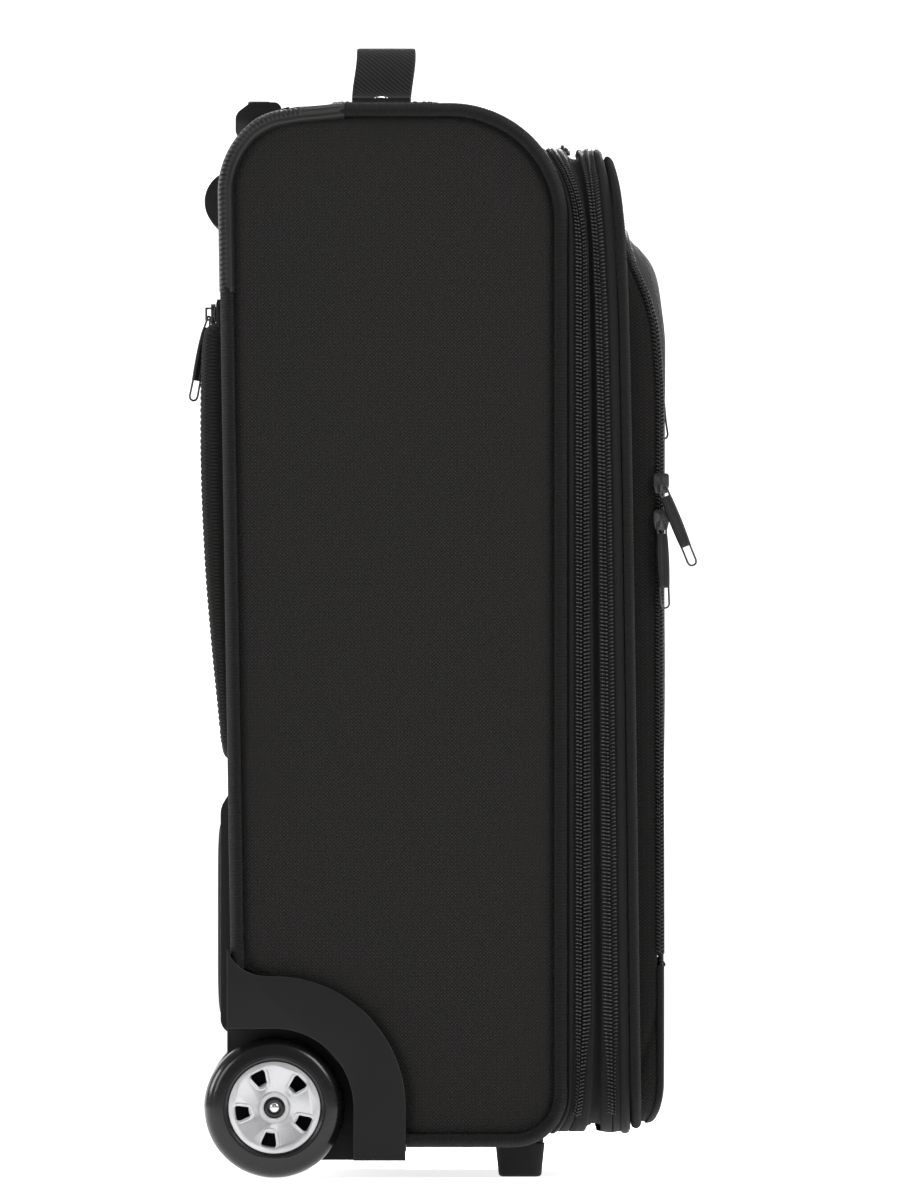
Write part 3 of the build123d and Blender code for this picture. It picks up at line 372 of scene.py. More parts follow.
def sweep(name, stations, section, place, material, closed=True, tube=True):
    """A band along stations. section(distance, u, v) gives (a, w) points: a is out along the
    outline's normal, and w is the place's third axis. A tube's section is a loop."""
    points, rows = [], []
    for u, v, nu, nv, at in stations:
        loop = section(at, u, v)
        rows.append(loop)
        points += [place(u + nu * a, v + nv * a, w) for a, w in loop]
    wide = len(rows[0])
    spans = [0.0]
    ring = rows[0] + rows[0][:1] if tube else rows[0]
    for (a0, w0), (a1, w1) in zip(ring, ring[1:]):
        spans.append(spans[-1] + sqrt((a1 - a0) ** 2 + (w1 - w0) ** 2))
    faces, uvs = [], []
    count = len(stations)
    step = stations[1][4] - stations[0][4]
    for i in range(count if closed else count - 1):
        j = (i + 1) % count
        at = stations[i][4]
        for k in range(wide if tube else wide - 1):
            m = (k + 1) % wide
            faces.append((i * wide + k, j * wide + k, j * wide + m, i * wide + m))
            uvs += [(at, spans[k]), (at + step, spans[k]), (at + step, spans[k + 1]), (at, spans[k + 1])]
    if tube and not closed:
        for cap in (tuple(range(wide)), tuple((count - 1) * wide + k for k in reversed(range(wide)))):
            faces.append(cap)
            uvs += [(0, 0)] * wide
    piece = mesh_piece(name, points, faces, uvs, material)
    return tidied(piece) if tube else facing(piece)


def edge_distance(outline, u, v):
    """Distance from a point to an outline."""
    best = 1e9
    for i, (bu, bv) in enumerate(outline):
        au, av = outline[i - 1]
        du, dv = bu - au, bv - av
        t = min(1.0, max(0.0, ((u - au) * du + (v - av) * dv) / max(du * du + dv * dv, 1e-9)))
        best = min(best, (u - au - du * t) ** 2 + (v - av - dv * t) ** 2)
    return sqrt(best)


def crossings(outline, v):
    """The first and last place where a level line at v crosses the outline."""
    hits = []
    for i, (bu, bv) in enumerate(outline):
        au, av = outline[i - 1]
        if (av - v) * (bv - v) <= 0 and av != bv:
            hits.append(au + (bu - au) * (v - av) / (bv - av))
    return min(hits), max(hits)


def graded(i, count, share=0.6):
    """i / count, with the steps finer at both ends."""
    t = i / count
    return t * (1 - share) + (0.5 - 0.5 * cos(pi * t)) * share


def panel(name, outline, height, place, material, rows=80, columns=40, thickness=1.4, out=None, low=None,
          high=None):
    """A sheet inside an outline. height(u, v, d) is w at distance d from the edge; out is the
    direction that the sheet faces. low and high cut it level, where they are given."""
    vs = [v for _, v in outline]
    foot = min(vs) + 0.05 if low is None else low
    top = max(vs) - 0.05 if high is None else high
    points, plan = [], []
    for i in range(rows + 1):
        v = foot + (top - foot) * graded(i, rows)
        left, right = crossings(outline, v)
        for j in range(columns + 1):
            u = left + (right - left) * graded(j, columns)
            d = edge_distance(outline, u, v)
            plan.append((u, v))
            points.append(place(u, v, height(u, v, d)))
    faces = tube_grid(rows + 1, columns + 1, ring=False)
    uvs = [plan[k] for face in faces for k in face]
    piece = facing(mesh_piece(name, points, faces, uvs, material), out)
    return thickened(piece, thickness)


def facing(piece, out=None, middle=None, along=None):
    """Turns an open sheet to face the direction out, away from its own middle, or away from the
    line through middle along an axis (0, 1 or 2)."""
    mesh = piece.data
    mesh.update()
    if middle is None:
        centre = sum((Vector(corner) for corner in piece.bound_box), Vector()) / 8
    else:
        centre = Vector(middle) * MM
    total = 0.0
    for p in mesh.polygons:
        arm = Vector(out) if out else p.center - centre
        if along is not None:
            arm[along] = 0
        total += p.normal.dot(arm) * p.area
    if total < 0:
        mesh.flip_normals()
    return piece


def facing_body(sheet):
    return facing(sheet, middle=BODY_MIDDLE, along=0)


def facing_lid(sheet):
    return facing(sheet, middle=LID_MIDDLE, along=1)


# Height, distance from the zip's middle, slant and girth along a tooth: an outer knob, a waist
# and a head
TOOTH = [(0.05, 3.7, 0.0, 0.5), (0.6, 3.2, 0.05, 0.85), (0.75, 2.7, 0.15, 0.95), (0.15, 2.0, 0.3, 0.75),
         (0.85, 1.4, 0.45, 1.0), (1.1, 0.95, 0.5, 1.1), (0.7, 0.4, 0.55, 0.8), (0.1, 0.05, 0.6, 0.5)]
TALL_TOOTH = [(0.0, 3.7, 0.0, 0.4), (0.3, 3.2, 0.05, 0.75), (0.2, 2.6, 0.15, 0.8), (-0.3, 1.6, 0.3, 0.7),
              (0.5, 0.7, 0.45, 0.95), (1.1, 0.1, 0.5, 1.15), (0.4, -0.4, 0.55, 0.8), (-0.3, -0.6, 0.6, 0.4)]
LOW_TOOTH = [(0.0, 3.9, 0.0, 0.4), (0.5, 3.5, 0.05, 0.8), (0.5, 3.0, 0.15, 0.85), (-0.2, 2.2, 0.3, 0.7),
             (-0.4, 1.4, 0.45, 0.7), (-0.5, 0.8, 0.5, 0.6)]
EVEN = (TOOTH, TOOTH)
LEANING = (TALL_TOOTH, LOW_TOOTH)
TOOTH_LENGTH = 3.7
TOOTH_GIRTH = 0.5
TOOTH_SIDES = 6


def bars(name, stations, spine, place, phase=0.0, centre=0.0, narrow=None):
    """One row of a zip's coil: a knobbed bar every pitch. spine lists (a, w, slant, girth) points
    along a bar, slant being its shift along the zip. narrow(v) draws the row in towards centre."""
    step = stations[1][4] - stations[0][4]
    total = stations[-1][4] - stations[0][4] + step
    points, faces = [], []
    for n in range(int(total / ZIP_PITCH)):
        at = (n + phase) * ZIP_PITCH
        base = len(points)
        for i, (a, w, slant, girth) in enumerate(spine):
            where = min(max((at + slant) / step, 0), len(stations) - 1.001)
            k, share = int(where), where - int(where)
            s0, s1 = stations[k], stations[k + 1]
            u, v, nu, nv = (s0[m] + (s1[m] - s0[m]) * share for m in range(4))
            before, after = spine[max(i - 1, 0)], spine[min(i + 1, len(spine) - 1)]
            da, dw = after[0] - before[0], after[1] - before[1]
            size = sqrt(da * da + dw * dw)
            oa, ow = dw / size, -da / size
            if oa < 0 or (oa == 0 and ow < 0):
                oa, ow = -oa, -ow
            if narrow:
                w = centre + (w - centre) * narrow(v)
            for c, s in circle(1.0, TOOTH_SIDES):
                up, along = s * TOOTH_GIRTH * girth, c * TOOTH_GIRTH * girth
                pu, pv = u + nu * (a + oa * up) - nv * along, v + nv * (a + oa * up) + nu * along
                points.append(place(pu, pv, w + ow * up))
        faces += capped_tube(len(spine), TOOTH_SIDES, base)
    return tidied(mesh_piece(name, points, faces, None, COIL), merge=False)


def dome(centre, radius, height):
    """Points and faces of a low round head that faces up."""
    rings, segments = 5, 24
    points = []
    for ring in range(rings):
        t = pi / 2 * ring / rings
        for k in range(segments):
            turn = 2 * pi * k / segments
            r = radius * cos(t) ** 0.7
            points.append((centre[0] + r * cos(turn), centre[1] + r * sin(turn), centre[2] + height * sin(t)))
    faces = tube_grid(rings, segments)
    faces.append(tuple((rings - 1) * segments + k for k in range(segments)))
    faces.append(tuple(reversed(range(segments))))
    return points, faces


def add_box_uvs(piece):
    """UVs in metres from the face's main direction, for weaves on copied shapes."""
    mesh = piece.data
    layer = mesh.uv_layers.get("UVMap") or mesh.uv_layers.new(name="UVMap")
    for poly in mesh.polygons:
        n = poly.normal
        drop = max(range(3), key=lambda i: abs(n[i]))
        keep = [i for i in range(3) if i != drop]
        for loop in poly.loop_indices:
            co = mesh.vertices[mesh.loops[loop].vertex_index].co
            layer.data[loop].uv = (co[keep[0]], co[keep[1]])


def refined(node, material, width, segments=2):
    """A copy of a CAD node with its edges rounded, standing for it."""
    piece = bpy.data.objects.new(node + "_finish", NODES[node].data.copy())
    bpy.context.scene.collection.objects.link(piece)
    mesh = piece.data
    mesh.materials.clear()
    mesh.materials.append(material)
    bm = bmesh.new()
    bm.from_mesh(mesh)
    bmesh.ops.remove_doubles(bm, verts=bm.verts, dist=0.00001)
    bmesh.ops.dissolve_limit(bm, angle_limit=radians(0.6), verts=bm.verts, edges=bm.edges)
    bm.to_mesh(mesh)
    bm.free()
    bevel = piece.modifiers.new("edges", "BEVEL")
    bevel.width = width * MM
    bevel.segments = segments
    bevel.limit_method = "ANGLE"
    bevel.angle_limit = radians(30)
    baked(piece)
    crease(piece)
    add_box_uvs(piece)
    return stand_for(piece, node)


def crease(piece, limit=EDGE_LIMIT):
    """Smooth shading with the hard edges kept."""
    mesh = piece.data
    mesh.polygons.foreach_set("use_smooth", [True] * len(mesh.polygons))
    mesh.set_sharp_from_angle(angle=limit)


def stand_for(piece, *nodes, body=None):
    """The piece replaces these CAD nodes and rides on their body."""
    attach(piece, body or BODY_OF[nodes[0]])
    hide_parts(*nodes)
    return piece


def rides(piece, body, slot):
    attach(piece, body)
    return piece


# ---------------------------------------------------------------- materials
class Graph:
    """Shader nodes of one material."""

    def __init__(self, name):
        self.material = bpy.data.materials.new(name)
        self.material.use_nodes = True
        self.tree = self.material.node_tree
        self.tree.nodes.clear()
        self.shader = self.tree.nodes.new("ShaderNodeBsdfPrincipled")
        output = self.tree.nodes.new("ShaderNodeOutputMaterial")
        self.tree.links.new(self.shader.outputs[0], output.inputs[0])

    def node(self, kind, inputs=(), **settings):
        node = self.tree.nodes.new(kind)
        for key, value in settings.items():
            setattr(node, key, value)
        for key, value in dict(inputs).items():
            if isinstance(value, bpy.types.NodeSocket):
                self.tree.links.new(value, node.inputs[key])
            else:
                node.inputs[key].default_value = value
        return node

    def math(self, operation, a, b=0.0, c=0.0):
        return self.node("ShaderNodeMath", {0: a, 1: b, 2: c}, operation=operation).outputs[0]

    def noise(self, vector, scale, detail=3.0, roughness=0.55):
        inputs = {"Vector": vector, "Scale": scale, "Detail": detail, "Roughness": roughness}
        return self.node("ShaderNodeTexNoise", inputs).outputs["Fac"]

    def span(self, value, low, high, new_low=0.0, new_high=1.0):
        inputs = {0: value, 1: low, 2: high, 3: new_low, 4: new_high}
        return self.node("ShaderNodeMapRange", inputs).outputs[0]

    def blend(self, factor, first, second):
        """Mixes two colours, given as sockets or RGB."""
        node = self.node("ShaderNodeMix", data_type="RGBA")
        for index, value in ((0, factor), (6, first), (7, second)):
            if isinstance(value, bpy.types.NodeSocket):
                self.tree.links.new(value, node.inputs[index])
            else:
                node.inputs[index].default_value = value if index == 0 else (*value, 1.0)
        return node.outputs[2]

    def stretched(self, vector, x, y, z):
        return self.node("ShaderNodeMapping", {"Vector": vector, "Scale": (x, y, z)}).outputs[0]

    def bumped(self, height, distance, strength=1.0, under=None):
        inputs = {"Height": height, "Distance": distance, "Strength": strength}
        if under:
            inputs["Normal"] = under
        return self.node("ShaderNodeBump", inputs).outputs[0]

    def finish(self, **values):
        names = {"colour": "Base Color", "rough": "Roughness", "metal": "Metallic", "normal": "Normal"}
        names.update(sheen="Sheen Weight", sheen_rough="Sheen Roughness", specular="Specular IOR Level")
        names.update(coat="Coat Weight", coat_rough="Coat Roughness")
        for key, value in values.items():
            socket = self.shader.inputs[names[key]]
            if isinstance(value, bpy.types.NodeSocket):
                self.tree.links.new(value, socket)
            elif isinstance(value, tuple):
                socket.default_value = (*value, 1.0)
            else:
                socket.default_value = value
        return self.material

    def place(self):
        """Position on the resting object, in metres."""
        return self.node("ShaderNodeTexCoord").outputs["Object"]

    def weave_uv(self):
        """u and v of the piece's own layout, in metres."""
        uv = self.node("ShaderNodeUVMap", uv_map="UVMap").outputs[0]
        parts = self.node("ShaderNodeSeparateXYZ", {0: uv})
        return parts.outputs[0], parts.outputs[1]

    def wave(self, along, pitch, phase=0.0):
        """A sine of unit height along a length, with its pitch in metres."""
        return self.math("SINE", self.math("MULTIPLY_ADD", along, 2 * pi / pitch, phase))

    def wear_and_highlight_edges(self, radius=0.5):
        """0 on flat ground, 1 on edges, where rubbed wear and a painted highlight go."""
        eased = self.node("ShaderNodeBevel", {"Radius": radius * MM}, samples=4).outputs[0]
        true = self.node("ShaderNodeNewGeometry").outputs["Normal"]
        dot = self.node("ShaderNodeVectorMath", {0: eased, 1: true}, operation="DOT_PRODUCT")
        return self.span(dot.outputs["Value"], 0.995, 0.90)


def ballistic(name, dark, light, cell=1.85, depth=0.35, sheen=0.05, rough=0.72, dust=0.35):
    """Heavy basket-woven nylon, set on the diagonal: yarn crowns in a checker, each made of fine
    filaments, with a slow drift of tone and a little dust. The crowns are painted lighter and the
    gaps between them darker as painted shade, and the over-crossing yarns painted lighter as sheen."""
    g = Graph(name)
    u, v = g.weave_uv()
    pitch = 2 * cell * MM
    p = g.math("ADD", u, v)
    q = g.math("SUBTRACT", u, v)
    checker = g.math("MULTIPLY", g.wave(p, pitch), g.wave(q, pitch))
    crown = g.math("POWER", g.math("ABSOLUTE", checker), 0.6)
    over = g.math("GREATER_THAN", checker, 0.0)
    fine = pitch / 9
    filament = g.math("ADD", g.math("MULTIPLY", over, g.wave(p, fine)),
                      g.math("MULTIPLY", g.math("SUBTRACT", 1.0, over), g.wave(q, fine)))
    height = g.math("MULTIPLY_ADD", filament, 0.10, crown)
    place = g.place()
    drift = g.noise(place, 9.0, 3.0)
    speck = g.noise(place, 900.0, 2.0)
    # Painted shade: the yarn crowns are painted lighter and the gaps between them darker, over a random drift of
    # tone
    weave_shade_and_tone = g.math("MULTIPLY_ADD", drift, dust, g.math("MULTIPLY", crown, 0.75))
    # Painted sheen: the over-crossing yarns of one direction are painted lighter
    weave_shade_and_tone = g.math("MULTIPLY_ADD", over, 0.12, weave_shade_and_tone)
    colour = g.blend(g.span(g.math("MULTIPLY_ADD", speck, 0.25, weave_shade_and_tone), 0.25, 1.15), dark, light)
    normal = g.bumped(height, depth * MM, 0.9)
    roughness = g.span(drift, 0.3, 0.7, rough - 0.07, rough + 0.07)
    return g.finish(colour=colour, rough=roughness, sheen=sheen, sheen_rough=0.5, specular=0.12,
                    normal=normal)


def twill(name, dark, light, rib, slope=0.8, depth=0.3, sheen=0.06, rough=0.7, cross=0.45):
    """Webbing and tape with slanted ribs, crossed by fine weft threads. The rib crowns are painted
    lighter and the grooves darker, as painted shade.
    """
    g = Graph(name)
    u, v = g.weave_uv()
    slanted = g.math("MULTIPLY_ADD", v, slope, u)
    ribs = g.wave(slanted, rib * MM)
    weft = g.wave(v, cross * MM)
    height = g.math("MULTIPLY_ADD", weft, 0.18, g.math("MULTIPLY_ADD", ribs, 0.5, 0.5))
    drift = g.noise(g.place(), 25.0, 3.0)
    # Painted shade: colour follows the rib height, lighter on the crowns and darker in the grooves, over a random
    # drift of tone
    weave_shade_and_tone = g.math("MULTIPLY_ADD", drift, 0.5, g.math("MULTIPLY", height, 0.6))
    colour = g.blend(g.span(weave_shade_and_tone, 0.2, 0.95), dark, light)
    return g.finish(colour=colour, rough=g.span(drift, 0.3, 0.7, rough - 0.06, rough + 0.06), sheen=sheen,
                    sheen_rough=0.45, specular=0.15, normal=g.bumped(height, depth * MM, 0.9))


def moulded(name, dark, light, rough=0.5, grain=700.0, depth=0.06, worn_and_highlight=(0.09, 0.09, 0.088), coat=0.0,
            specular=0.25):
    """Moulded plastic: fine leather grain, a slow drift of tone, and edges painted lighter, as rubbed
    wear and as a painted highlight.
    """
    g = Graph(name)
    place = g.place()
    pits = g.noise(place, grain, 4.0, 0.6)
    drift = g.noise(place, 14.0, 4.0)
    scuffs = g.noise(g.stretched(place, 1.0, 0.25, 0.6), 320.0, 2.0)
    colour = g.blend(g.span(drift, 0.3, 0.7), dark, light)
    # Edges painted lighter: partly rubbed wear, partly a painted highlight along the edges
    rub_and_highlight = g.math("MULTIPLY", g.wear_and_highlight_edges(), g.span(scuffs, 0.35, 0.6, 0.25, 0.8))
    colour = g.blend(rub_and_highlight, colour, worn_and_highlight)
    roughness = g.math("MULTIPLY_ADD", scuffs, 0.14, g.span(drift, 0.3, 0.7, rough - 0.1, rough - 0.03))
    return g.finish(colour=colour, rough=roughness, coat=coat, coat_rough=0.12, specular=specular,
                    normal=g.bumped(pits, depth * MM, 0.8))


def metal(name, dark, light, rough=0.25, along=(1.0, 1.0, 0.04), depth=0.01, shine=1.0):
    """Metal with fine brush marks drawn out along one direction."""
    g = Graph(name)
    place = g.place()
    marks = g.noise(g.stretched(place, *along), 1800.0, 3.0)
    drift = g.noise(place, 30.0, 3.0)
    colour = g.blend(g.span(g.math("MULTIPLY_ADD", marks, 0.4, drift), 0.45, 0.95), dark, light)
    return g.finish(colour=colour, rough=g.span(marks, 0.3, 0.7, rough - 0.06, rough + 0.08), metal=shine,
                    normal=g.bumped(marks, depth * MM, 0.6))


def grey(value):
    return (value, value, value)


MATERIALS = {
    "panel_fabric": ballistic("side_nylon", (0.0010, 0.0009, 0.0009), (0.0200, 0.0184, 0.0175), depth=0.55,
                              dust=0.2),
    "gusset_fabric": ballistic("gusset_nylon", (0.0020, 0.0019, 0.0019), (0.0100, 0.0094, 0.0090), cell=1.1,
                               depth=0.2),
    "piping": ballistic("piping_weave", (0.0014, 0.0013, 0.0013), (0.0115, 0.0106, 0.0102), cell=0.85,
                        depth=0.2, sheen=0.03),
    "zip_tape": twill("zip_tape_knit", grey(0.0012), (0.0070, 0.0068, 0.0067), rib=0.95, slope=0.0,
                      depth=0.15),
    "webbing": twill("handle_webbing", (0.0035, 0.0034, 0.0034), (0.022, 0.021, 0.0205), rib=2.2),
    "grip_pad": twill("handle_grip_twill", grey(0.003), (0.019, 0.0182, 0.0178), rib=1.5, slope=0.5),
    "lining_fabric": twill("lining_satin", (0.03, 0.03, 0.032), (0.07, 0.07, 0.074), rib=1.1, slope=0.9,
                           depth=0.04, sheen=0.2, rough=0.5, cross=0.5),
    "moulded_plastic": moulded("guard_plastic", (0.0052, 0.0051, 0.0050), (0.0072, 0.0071, 0.0069),
                               rough=0.58, specular=0.16),
    "gloss_plastic": moulded("gloss_black", grey(0.004), grey(0.006), rough=0.26, depth=0.01, worn_and_highlight=grey(0.03),
                             coat=0.3),
    "board": moulded("fibre_board", (0.13, 0.105, 0.075), (0.20, 0.165, 0.12), rough=0.85, grain=260.0,
                     depth=0.12, worn_and_highlight=(0.3, 0.26, 0.2)),
    "frame_wire": moulded("frame_strip", grey(0.012), grey(0.02)),
    "rubber_foot": moulded("foot_rubber", grey(0.006), (0.010, 0.010, 0.0095), rough=0.7, depth=0.08,
                           worn_and_highlight=(0.03, 0.03, 0.028)),
    "tube_metal": metal("tube_aluminium", (0.42, 0.43, 0.44), (0.60, 0.61, 0.62), rough=0.28),
    "steel": metal("bright_steel", (0.48, 0.48, 0.47), (0.66, 0.66, 0.65), rough=0.22, along=(1.0, 1.0, 1.0)),
    "hub_silver": metal("hub_silver_paint", (0.40, 0.40, 0.41), (0.52, 0.52, 0.53), rough=0.36,
                        along=(1.0, 0.5, 0.5), shine=0.7),
    "tyre_rubber": moulded("tyre_rubber", grey(0.003), grey(0.0045), rough=0.26, grain=1200.0, depth=0.01,
                           worn_and_highlight=grey(0.008), coat=0.25),
    "zip_metal": metal("slider_gunmetal", (0.03, 0.03, 0.031), (0.09, 0.09, 0.092), rough=0.3,
                       along=(1, 1, 1)),
    "pull_plastic": moulded("pull_sleeve", grey(0.007), grey(0.014), rough=0.4, worn_and_highlight=grey(0.06)),
}
PANEL_CLOTH = MATERIALS["panel_fabric"]
GUSSET_CLOTH = MATERIALS["gusset_fabric"]
TAPE = MATERIALS["zip_tape"]
COIL = moulded("zip_coil_nylon", grey(0.006), grey(0.016), rough=0.3, depth=0.01, worn_and_highlight=grey(0.016), coat=0.35,
               specular=0.4)
GUARD_RIBBED = moulded("corner_guard_plastic", grey(0.007), (0.013, 0.013, 0.0125), rough=0.42,
                       worn_and_highlight=grey(0.05))
THREAD = twill("seam_thread", grey(0.006), grey(0.03), rib=0.5, slope=0.6, depth=0.1)
SMOOTH_FABRIC = ballistic("smooth_band", (0.0020, 0.0019, 0.0019), (0.0090, 0.0086, 0.0084), cell=0.6,
                          depth=0.1, sheen=0.03, rough=0.6)


# ---------------------------------------------------------------- body shell
SIDES = ((-1, "left"), (1, "right"))


def arch_outline(grow=0.0):
    """The wheel guard's outer edge from the bottom at its front to the bottom at its back."""
    radius = ARCH_RADIUS + grow
    start = arc((AXLE_Y, AXLE_Z), radius, pi, pi / 2)
    tail = [(94.5, 104.8 + grow), (100.4 - grow, 106.8 + grow)]
    tail += [(106.5 - grow, 111.5 + grow), (112, 118.5 + grow)]
    return [(AXLE_Y - radius, BODY_BOTTOM + 4)] + start + tail


def panel_outline():
    """The side panel's outline: the body's, less the wheel guard."""
    outline = [(s[0], s[1]) for s in evenly(rounded(body_corners(PIPING_WIDTH - 0.6)), 4.0)]
    inside = [(u, v) for u, v in outline if not in_arch(u, v, 1.0)]
    notch = arch_outline(-0.5)
    notch = [(AXLE_Y - ARCH_RADIUS + 0.5, BODY_BOTTOM + PIPING_WIDTH - 0.6)] + notch[1:-1]
    notch.append((back_y(ARCH_TOP) - PIPING_WIDTH + 0.6, ARCH_TOP))
    # Starts just behind the notch, so that the notch closes the outline
    def gap(i):
        return (inside[i][0] - notch[-1][0]) ** 2 + (inside[i][1] - ARCH_TOP) ** 2

    first = min(range(len(inside)), key=gap)
    return notch + inside[first:] + inside[:first]


def under_guard(u, v):
    """True where the side's piping has gone in under the wheel guard."""
    return in_arch(u, v) and not (u > TAIL_Y and v > TAIL_Z + 1)


def in_arch(u, v, grow=0.0):
    """True where a point of the side lies under the wheel guard."""
    if u < AXLE_Y - ARCH_RADIUS - grow or v > ARCH_TOP + grow:
        return False
    if v < AXLE_Z or (u > TAIL_Y and v < TAIL_Z + grow + (u - TAIL_Y)):
        return True
    return (u - AXLE_Y) ** 2 + (v - AXLE_Z) ** 2 < (ARCH_RADIUS + grow) ** 2


def side_height(u, v, d):
    """The side's cloth over its board: tucked into a groove along the piping, then nearly flat."""
    sag = 0.5 * noise.noise(Vector((u * 0.012, v * 0.012, 3.0))) * smooth(d / 40)
    return CLOTH_AT - 2.6 * exp(-(d / 2.3) ** 2) + 1.2 * smooth(d / 60) + sag


side_outline = panel_outline()
for side, side_name in SIDES:
    cloth = panel("side_cloth_" + side_name, side_outline, side_height, side_place(side),
                  PANEL_CLOTH, rows=110, columns=50, out=(side, 0, 0))
    stand_for(cloth, "side_panel_" + side_name)


def runs(stations, keep):
    """The unbroken runs of a closed list of stations where keep(u, v) holds."""
    flags = [keep(s[0], s[1]) for s in stations]
    if all(flags):
        return [stations]
    start = next(i for i in range(len(flags)) if flags[i] and not flags[i - 1])
    step, total = stations[1][4] - stations[0][4], len(stations)
    found, run = [], []
    for i in range(start, start + total):
        s = stations[i % total]
        if flags[i % total]:
            run.append((*s[:4], i * step))
        elif run:
            found.append(run)
            run = []
    return found + ([run] if run else [])


def bead(inner, outer, base, top, count=10, power=0.8):
    """A half-round section (a, w) from inner to outer in a, standing from base to top in w."""
    middle, half = (inner + outer) / 2, (outer - inner) / 2
    loop = []
    for k in range(count + 1):
        t = pi * k / count
        loop.append((middle + half * cos(t), base + (top - base) * sin(t) ** power))
    return loop


def ribbed(loop, at, pitch, depth, centre):
    """A section pulled in towards its centre between ribs."""
    shrink = 1 - depth * (0.5 - 0.5 * cos(2 * pi * at / pitch))
    return [(centre[0] + (a - centre[0]) * shrink, centre[1] + (w - centre[1]) * shrink) for a, w in loop]


# The piping leans inwards: a crown over its inner part and a long fall to the case's outline
PIPING_PROFILE = [(0.2, GROOVE_BASE), (0.0, 172.3), (-0.7, 174.0), (-1.5, 175.4), (-2.5, 176.6),
                  (-3.6, 177.2), (-4.6, 177.1), (-5.5, 176.2), (-6.2, 174.5), (-6.4, 172.4)]


def piping_section(at, u, v):
    cord = ribbed(PIPING_PROFILE, at, RIB, 0.10, (-3.4, 171))
    return cord + [(-6.9, GROOVE_BASE), (-6.9, RIM_BASE), (0.1, RIM_BASE)]


def in_guard(u, v):
    return u >= 51 and v >= 459


def shows_piping(u, v):
    """Away from the wheel guard, and up to just under the corner guard's ends."""
    return not under_guard(u, v) and not in_guard(u - 2, v - 2)


body_line = evenly(rounded(body_corners()), RIB / 4)
for side, side_name in SIDES:
    for number, run in enumerate(runs(body_line, shows_piping)):
        cord = sweep("side_piping_%s_%d" % (side_name, number), run, piping_section, side_place(side),
                     MATERIALS["piping"], closed=False)
        stand_for(cord, "side_piping")


def guard_section(at, u, v):
    """A ribbed outer row beside a smooth rounded band."""
    rib = 0.2 * smooth((u - 72) / 4)
    fade = 0.88 + 0.12 * min(smooth((v - 458) / 4), smooth((u - 50.5) / 4))
    outer = [(0.4, 171.5), (0.3, 174.3), (-0.2, 176.2), (-1.1, 177.4), (-2.1, 177.9), (-3.0, 177.4)]
    inner = [(-3.7, 176.3), (-4.4, 176.3), (-5.3, 176.7), (-6.2, 176.4), (-7.0, 175.4), (-7.7, 173.5),
             (-8.1, GUARD_BASE)]
    profile = ribbed(outer, at, GUARD_RIB, rib, (-2.6, 170)) + inner
    return [(a, GUARD_BASE + (w - GUARD_BASE) * fade) for a, w in profile] + [(-8.2, 169.5), (0.4, RIM_BASE)]


# How far the corner guard's top sags at u, above the turn of the corner
GUARD_TURN = 500
GUARD_DROOP = [(50, 0.1), (56, 0.7), (62, 1.4), (70, 2.1), (76, 2.5), (81, 2.3), (87, 1.3), (92, 0.7),
               (97, 0)]

for side, side_name in SIDES:
    def guard_place(u, v, w, side=side):
        return side_place(side)(u, v - (curve(u, GUARD_DROOP) if v > GUARD_TURN else 0), w)

    run = runs(evenly(rounded(body_corners(-0.1)), GUARD_RIB / 5), in_guard)[0]
    guard = sweep("corner_guard_" + side_name, run, guard_section, guard_place, GUARD_RIBBED, closed=False)
    stand_for(guard, "corner_guards")


def not_front(u, v):
    """True away from the lid's opening in the body's front."""
    return not (u < -35 and LID_BOTTOM + 1 < v < LID_TOP - 1)


def not_well(u, v):
    return not (u > WELL_FRONT and v < WELL_TOP)


def not_bezel(u, v):
    """True outside the trolley handle's bezel, which folds over the back's top edge."""
    return not (u > BEZEL_FRONT and v > 526) and not (u > 100 and v > BEZEL_FOOT)


def wrap_strip(name, low, high, keep):
    """A strip of the wrap between two places across the width."""
    stations = evenly(rounded(body_corners(WRAP_INSET)), 6.0)
    steps = max(2, round((high - low) / 12))
    widths = [low + (high - low) * k / steps for k in range(steps + 1)]

    def slack(at, u, v):
        return [(0.25 * noise.noise(Vector((u, v, w)) * 0.02), w) for w in widths]

    for number, run in enumerate(runs(stations, keep)):
        sheet = sweep("%s_%d" % (name, number), run, slack, across, GUSSET_CLOTH, closed=False,
                      tube=False)
        stand_for(thickened(facing_body(sheet), 1.8), "wrap_fabric")


wrap_strip("wrap_middle", -BEZEL_HALF, BEZEL_HALF, lambda u, v: not_front(u, v) and not_bezel(u, v))
for side, side_name in SIDES:
    a, b, c = side * BEZEL_HALF, side * WELL_IN, side * WRAP_HALF
    wrap_strip("wrap_flank_" + side_name, min(a, b), max(a, b), not_front)
    wrap_strip("wrap_edge_" + side_name, min(b, c), max(b, c),
               lambda u, v: not_front(u, v) and not_well(u, v))

# Fabric-bound rim round the front opening, on the body's rounded front
rim = sweep("front_rim", evenly(rounded(lid_corners()), 4.0),
            lambda at, u, v: [(-3.2, 64.3), (-12.4, 64.3), (-12.4, 61.6), (-3.2, 61.6)], lid_place,
            MATERIALS["lining_fabric"])
stand_for(rim, "front_frame")


def reach(u, v, nu, nv):
    """How far the body's front runs outwards from the lid's outline, to its own square corners."""
    limits = [1e3]
    if abs(nu) > 0.01:
        limits.append((170.3 - abs(u)) / abs(nu))
    if nv > 0.01:
        limits.append((LID_TOP + 1.5 - v) / nv)
    if nv < -0.01:
        limits.append((v - LID_BOTTOM + 1.5) / -nv)
    return max(min(limits), -3.0)


